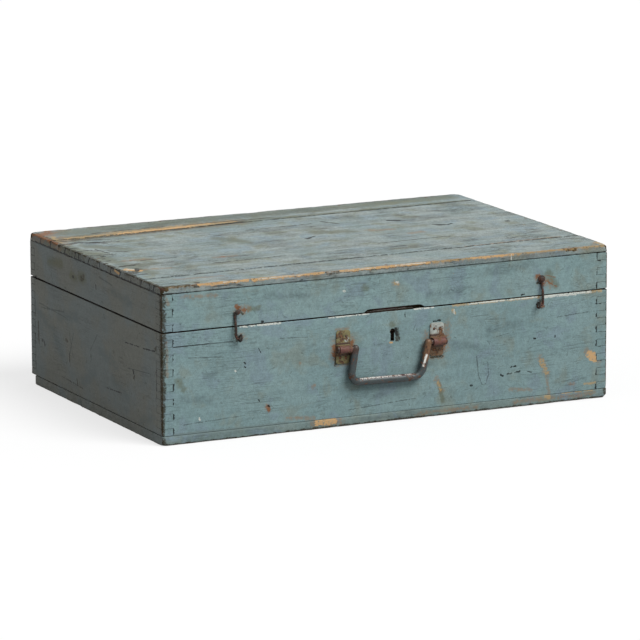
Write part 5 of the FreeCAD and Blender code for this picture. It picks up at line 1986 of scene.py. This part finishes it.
@dataclass
class Smith:
    """Makes worked and rusted iron pieces.

    Args:
        effects: The shared node groups.
        strips: How many strips soften an edge of cut sheet.
        sharp: The least angle of an edge that is softened, in degrees.
        shading: The angle up to which a piece is shaded smooth, in degrees.
    """

    effects: Effects
    strips: int = 2
    sharp: float = 40.0
    shading: float = 40.0

    def forged(self, node: str, body: str, slot: str, finish: IronFinish,
               work: Forging) -> bpy.types.Object:
        """Make a round-sectioned piece as one hand-worked surface.

        Args:
            node: The CAD node that it stands for.
            body: The CAD body that it rides on.
            slot: The name of a material slot, passed on but not used.
            finish: Its finish.
            work: How it has been worked.

        Returns:
            The finished piece.
        """
        piece = Bench.copy_of(node, "worn_" + node)
        Bench.forge(piece, work)
        return self.dress(piece, node, body, slot, finish)

    def cut(self, node: str, body: str, slot: str, finish: IronFinish,
            softening: float) -> bpy.types.Object:
        """Make a piece cut from sheet, with edges softened by a width in mm.

        Args:
            node: The CAD node that it stands for.
            body: The CAD body that it rides on.
            slot: The name of a material slot, passed on but not used.
            finish: Its finish.
            softening: The softening's width, in mm.

        Returns:
            The finished piece.
        """
        piece = Bench.copy_of(node, "worn_" + node)
        Bench.bevel(piece, lambda point: True, softening, self.strips, self.sharp)
        return self.dress(piece, node, body, slot, finish)

    def dress(self, piece: bpy.types.Object, node: str, body: str, slot: str,
              finish: IronFinish) -> bpy.types.Object:
        """Give a piece its material, and put it in its place in the frame.

        Args:
            piece: The piece.
            node: The CAD node that it stands for.
            body: The CAD body that it rides on.
            slot: The name of a material slot; not used.
            finish: Its finish.

        Returns:
            The same piece.
        """
        piece.data.materials.append(finish.material(self.effects))
        Bench.smooth(piece, self.shading)
        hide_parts(node)
        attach(piece, body)
        return piece

    def coat(self, nodes: Sequence[str], finish: IronFinish) -> None:
        """Give CAD nodes that stay as they are one finish between them.

        Args:
            nodes: The nodes.
            finish: Their finish.
        """
        material = finish.material(self.effects)
        for node in nodes:
            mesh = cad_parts[node].data
            mesh.materials.clear()
            mesh.materials.append(material)


OLIVE = (0.175, 0.155, 0.07)
RED_RUST = (0.12, 0.045, 0.035)
PALE_PAINT = (0.34, 0.37, 0.34)
BROWN_RUST = (0.145, 0.075, 0.035)
DARK_RUST = (0.05, 0.026, 0.018)
MAROON = (0.085, 0.034, 0.030)
# Bare worn steel, lightened as a painted highlight where the bail faces the light.
WORN_STEEL_HIGHLIGHT = (0.78, 0.77, 0.72)

MOUNT_LEFT = IronFinish(
    "left_mount_iron", OLIVE, rust=(0.13, 0.07, 0.03), spread=0.4, roughness=0.6, zones=(
        Zone((-80, -224, 129), (-80, -224, 82), 1.4, BROWN_RUST),
        Zone((-57, -224, 129), (-57, -224, 82), 1.2, BROWN_RUST),
        Zone((-79, -228, 105), (-57, -228, 105), 7.6, RED_RUST, 0.6),
        Zone((-79, -219, 97.6), (-57, -219, 97.6), 1.5, DARK_RUST, 0.4),
        Zone((-79, -219, 112.6), (-57, -219, 112.6), 1.4, DARK_RUST, 0.4),
        Zone((-64, -220, 116.5), (-62, -220, 119), 2.4, PALE_PAINT, 0.8)))
MOUNT_RIGHT = IronFinish(
    "right_mount_iron", (0.155, 0.100, 0.055), rust=(0.16, 0.075, 0.03), spread=0.35,
    roughness=0.6, zones=(
        Zone((66, -220, 121), (75, -220, 121), 9.0, PALE_PAINT, 0.8),
        Zone((59, -228, 103.5), (82, -228, 103.5), 7.4, RED_RUST, 0.6),
        Zone((59, -219, 96.2), (82, -219, 96.2), 1.5, DARK_RUST, 0.4),
        Zone((59, -219, 111.4), (82, -219, 111.4), 1.5, DARK_RUST, 0.4)))
BAIL_IRON = IronFinish(
    "bail_iron", (0.040, 0.052, 0.054), rust=(0.15, 0.062, 0.03), spread=0.30, metallic=0.2,
    roughness=0.42, zones=(
        Zone((-47, -227.6, 66.4), (30, -227.6, 65.0), 2.6, MAROON, 1.0),
        # Broken white streaks along the grip's top: bare worn steel and a painted highlight.
        Zone((-46, -227.6, 66.2), (-18, -227.6, 65.7), 1.9, WORN_STEEL_HIGHLIGHT, 1.3),
        Zone((-14, -227.6, 65.6), (12, -227.6, 65.4), 1.8, WORN_STEEL_HIGHLIGHT, 1.3),
        Zone((20, -227.6, 65.2), (31, -227.6, 65.1), 1.7, WORN_STEEL_HIGHLIGHT, 1.3),
        Zone((-51, -220, 101), (-54, -224, 72), 3.8, MAROON, 1.2),
        Zone((-84, -225, 105), (-52, -225, 104), 6.2, DARK_RUST, 0.8),
        Zone((55, -228, 104), (50, -229, 84), 5.2, BROWN_RUST, 1.2),
        Zone((62, -225, 103.5), (84, -225, 103.5), 6.0, DARK_RUST, 0.8),
        # A white streak on the right arm's right side: worn steel and a painted highlight.
        Zone((50, -230, 88), (45, -230, 74), 1.4, WORN_STEEL_HIGHLIGHT, 1.0)))
HANDLE_NAILS = IronFinish("handle_nail_iron", (0.055, 0.042, 0.03), spread=0.6, roughness=0.6)
HOOK_WIRE = IronFinish("hook_wire", (0.020, 0.014, 0.011), rust=(0.090, 0.034, 0.020),
                       scale=(0.015, 0.010, 0.008), spread=0.45, roughness=0.6)
BOARD_NAILS = IronFinish("board_nail_iron", (0.12, 0.15, 0.145), spread=0.5, roughness=0.7)
LOCK_STEEL = IronFinish("lock_steel", (0.30, 0.28, 0.25), spread=0.28, metallic=0.85,
                        roughness=0.42, crust=0.3)
HINGE_STEEL = IronFinish("hinge_paint", (0.165, 0.21, 0.21), spread=0.4, roughness=0.55)
SCREW_STEEL = IronFinish("screw_steel", (0.24, 0.21, 0.18), spread=0.5, metallic=0.6,
                         roughness=0.5)


@dataclass
class Handle:
    """The bail and the two mounts that hold it, with their nails.

    Args:
        smith: Makes the ironwork.
        work: How the bail has been worked.
        softening: The softening of the mounts' edges, in mm.
    """

    smith: Smith
    work: Forging = Forging(voxel=0.8, dents=0.35, pitch=7.0)
    softening: float = 0.35

    def build(self) -> List[bpy.types.Object]:
        """Make the handle.

        Returns:
            The bail and the mounts.
        """
        self.smith.coat(["handle_nails"], HANDLE_NAILS)
        made = [self.smith.forged("bail_handle", "bail", "handle_paint", BAIL_IRON, self.work)]
        for node, finish in (("handle_mount_left", MOUNT_LEFT),
                             ("handle_mount_right", MOUNT_RIGHT)):
            made.append(self.smith.cut(node, "chest", "mount_paint", finish, self.softening))
        return made


@dataclass
class Hooks:
    """The two wire hooks on the lid, and the screw eyes that they catch.

    Args:
        smith: Makes the ironwork.
        work: How the wires have been worked.
    """

    smith: Smith
    work: Forging = Forging(voxel=0.35, dents=0.2, pitch=2.5)

    def build(self) -> List[bpy.types.Object]:
        """Make the hooks and eyes.

        Returns:
            The hooks and eyes.
        """
        self.smith.coat(["hook_screws"], HOOK_WIRE)
        made = []
        for side in ("left", "right"):
            for node, body in (("hook_" + side, "hook_" + side), ("hook_eye_" + side, "chest")):
                made.append(self.smith.forged(node, body, "rusted_iron", HOOK_WIRE, self.work))
        return made


@dataclass
class Fittings:
    """The lock, the hinges and the nails, which keep their CAD shapes or soften them.

    Args:
        smith: Makes the ironwork.
        softening: The softening of the hinges' edges, in mm.
    """

    smith: Smith
    softening: float = 0.25

    def build(self) -> List[bpy.types.Object]:
        """Dress the lock and nails, and make the hinges.

        Returns:
            The hinges' leaves.
        """
        self.smith.coat(["lock_plate", "lock_case", "lock_bolt", "lock_drill_pin",
                         "lock_link_plate", "lock_link_staple"], LOCK_STEEL)
        self.smith.coat(["lock_screws", "lock_link_screws", "hinge_base_screws",
                         "hinge_lid_screws", "hinge_left_pin", "hinge_right_pin"],
                        SCREW_STEEL)
        self.smith.coat(["lid_nails", "bottom_nails"], BOARD_NAILS)
        made = []
        for side in ("left", "right"):
            for leaf, body in (("base", "chest"), ("lid", "lid")):
                made.append(self.smith.cut(f"hinge_{side}_{leaf}_leaf", body, "hinge_iron",
                                           HINGE_STEEL, self.softening))
        return made


# ------------------------ the studio


WHITE = (1.0, 1.0, 1.0)


@dataclass
class Studio:
    """The floor, the light and the camera.

    Args:
        spot: Where the camera stands, in metres.
        turn: How far it looks to +X of +Y, in degrees.
        dip: How far it looks down, in degrees.
        roll: How far it is rolled, in degrees.
        lens: Its focal length, in mm.
        sensor: The width of its sensor, in mm.
        clip: The nearest and the farthest that it sees, in metres.
        key_from: The direction that the key light comes from.
        key: The key light's strength.
        softness: How wide the key light is, in degrees.
        sky: The sky's strength on the object.
        glow: How much of the floor's white is its own, which keeps its shadow light.
        ground: The floor's size, in metres.
        pale: The floor's colour where it is seen.
        bounce: The floor's colour for the light that it gives back to the object.
    """

    spot: Point = (-2.975, -6.107, 1.497)
    turn: float = 26.01
    dip: float = 11.64
    roll: float = 0.17
    lens: float = 286.68
    sensor: float = 36.0
    clip: Span = (0.1, 100.0)
    key_from: Point = (0.30, -0.55, 0.78)
    key: float = 3.0
    softness: float = 35.0
    sky: float = 0.40
    glow: float = 0.72
    ground: float = 60.0
    pale: Colour = (0.9, 0.9, 0.9)
    bounce: Colour = (0.36, 0.36, 0.36)

    def build(self) -> None:
        """Set up the whole studio."""
        self.camera()
        self.floor()
        self.lights()
        bpy.context.scene.view_settings.view_transform = "Standard"

    def camera(self) -> None:
        """Stand the camera in its place."""
        lens = bpy.data.cameras.new("camera")
        lens.sensor_width = self.sensor
        lens.lens = self.lens
        lens.clip_start, lens.clip_end = self.clip
        camera = bpy.data.objects.new("camera", lens)
        bpy.context.scene.collection.objects.link(camera)
        turn, dip, roll = (math.radians(part) for part in (self.turn, self.dip, self.roll))
        look = (Matrix.Rotation(-turn, 4, "Z") @ Matrix.Rotation(math.pi / 2 - dip, 4, "X")
                @ Matrix.Rotation(-roll, 4, "Z"))
        camera.matrix_world = Matrix.Translation(Vector(self.spot)) @ look
        bpy.context.scene.camera = camera

    def floor(self) -> None:
        """Lay a pale floor that looks white and gives back a soft light."""
        Bench.clear()
        bpy.ops.mesh.primitive_plane_add(size=self.ground, location=(0.0, 0.0, 0.0))
        floor = bpy.context.object
        floor.name = "floor"
        material = new_material("floor_white")
        graph = Graph(material.node_tree)
        seen = self.seen(graph)
        lit = graph.node("ShaderNodeBsdfDiffuse")
        graph.put(lit.inputs["Color"], self.pale)
        glow = graph.node("ShaderNodeEmission")
        graph.put(glow.inputs["Color"], WHITE)
        white = graph.node("ShaderNodeMixShader")
        white.inputs[0].default_value = self.glow
        graph.put(white.inputs[1], lit.outputs[0])
        graph.put(white.inputs[2], glow.outputs[0])
        grey = graph.node("ShaderNodeBsdfDiffuse")
        graph.put(grey.inputs["Color"], self.bounce)
        blend = graph.node("ShaderNodeMixShader")
        graph.put(blend.inputs[0], seen)
        graph.put(blend.inputs[1], grey.outputs[0])
        graph.put(blend.inputs[2], white.outputs[0])
        output = material.node_tree.nodes["Material Output"]
        graph.put(output.inputs["Surface"], blend.outputs[0])
        material.node_tree.nodes.remove(material.node_tree.nodes["Principled BSDF"])
        floor.data.materials.append(material)

    def lights(self) -> None:
        """Light the chest with one soft key and an even sky."""
        sun = bpy.data.lights.new("key", "SUN")
        sun.energy = self.key
        sun.angle = math.radians(self.softness)
        lamp = bpy.data.objects.new("key", sun)
        lamp.rotation_mode = "QUATERNION"
        lamp.rotation_quaternion = Vector(self.key_from).to_track_quat("Z", "Y")
        bpy.context.scene.collection.objects.link(lamp)
        world = bpy.data.worlds.new("studio")
        bpy.context.scene.world = world
        world.use_nodes = True
        graph = Graph(world.node_tree)
        background = world.node_tree.nodes["Background"]
        strength = graph.node("ShaderNodeMapRange")
        graph.put(strength.inputs["Value"], self.seen(graph))
        strength.inputs["To Min"].default_value = self.sky
        strength.inputs["To Max"].default_value = 1.0
        graph.put(background.inputs["Color"], WHITE)
        graph.put(background.inputs["Strength"], strength.outputs["Result"])

    @staticmethod
    def seen(graph: Graph) -> Socket:
        """Whether a ray shows the background: from the camera, a gloss or clear glass.

        Args:
            graph: The graph that it is added to.

        Returns:
            1 where it does, and 0 elsewhere.
        """
        path = graph.node("ShaderNodeLightPath")
        total = graph.math("ADD", path.outputs["Is Camera Ray"], path.outputs["Is Glossy Ray"])
        total = graph.math("ADD", total, path.outputs["Is Transmission Ray"])
        return graph.math("MINIMUM", total, 1.0)


def main() -> None:
    """Build the chest, part by part, in its studio."""
    logging.basicConfig(level=logging.INFO, format="%(name)s: %(message)s")
    Studio().build()
    LOG.info("the studio is set up")
    effects = Effects()
    smith = Smith(effects)
    for part in (Base(effects), Lid(effects), Handle(smith), Hooks(smith), Fittings(smith)):
        for piece in part.build():
            LOG.info("%s: %d faces", piece.name, len(piece.data.polygons))
    Bench.clear()


if __name__ == "__main__":
    main()
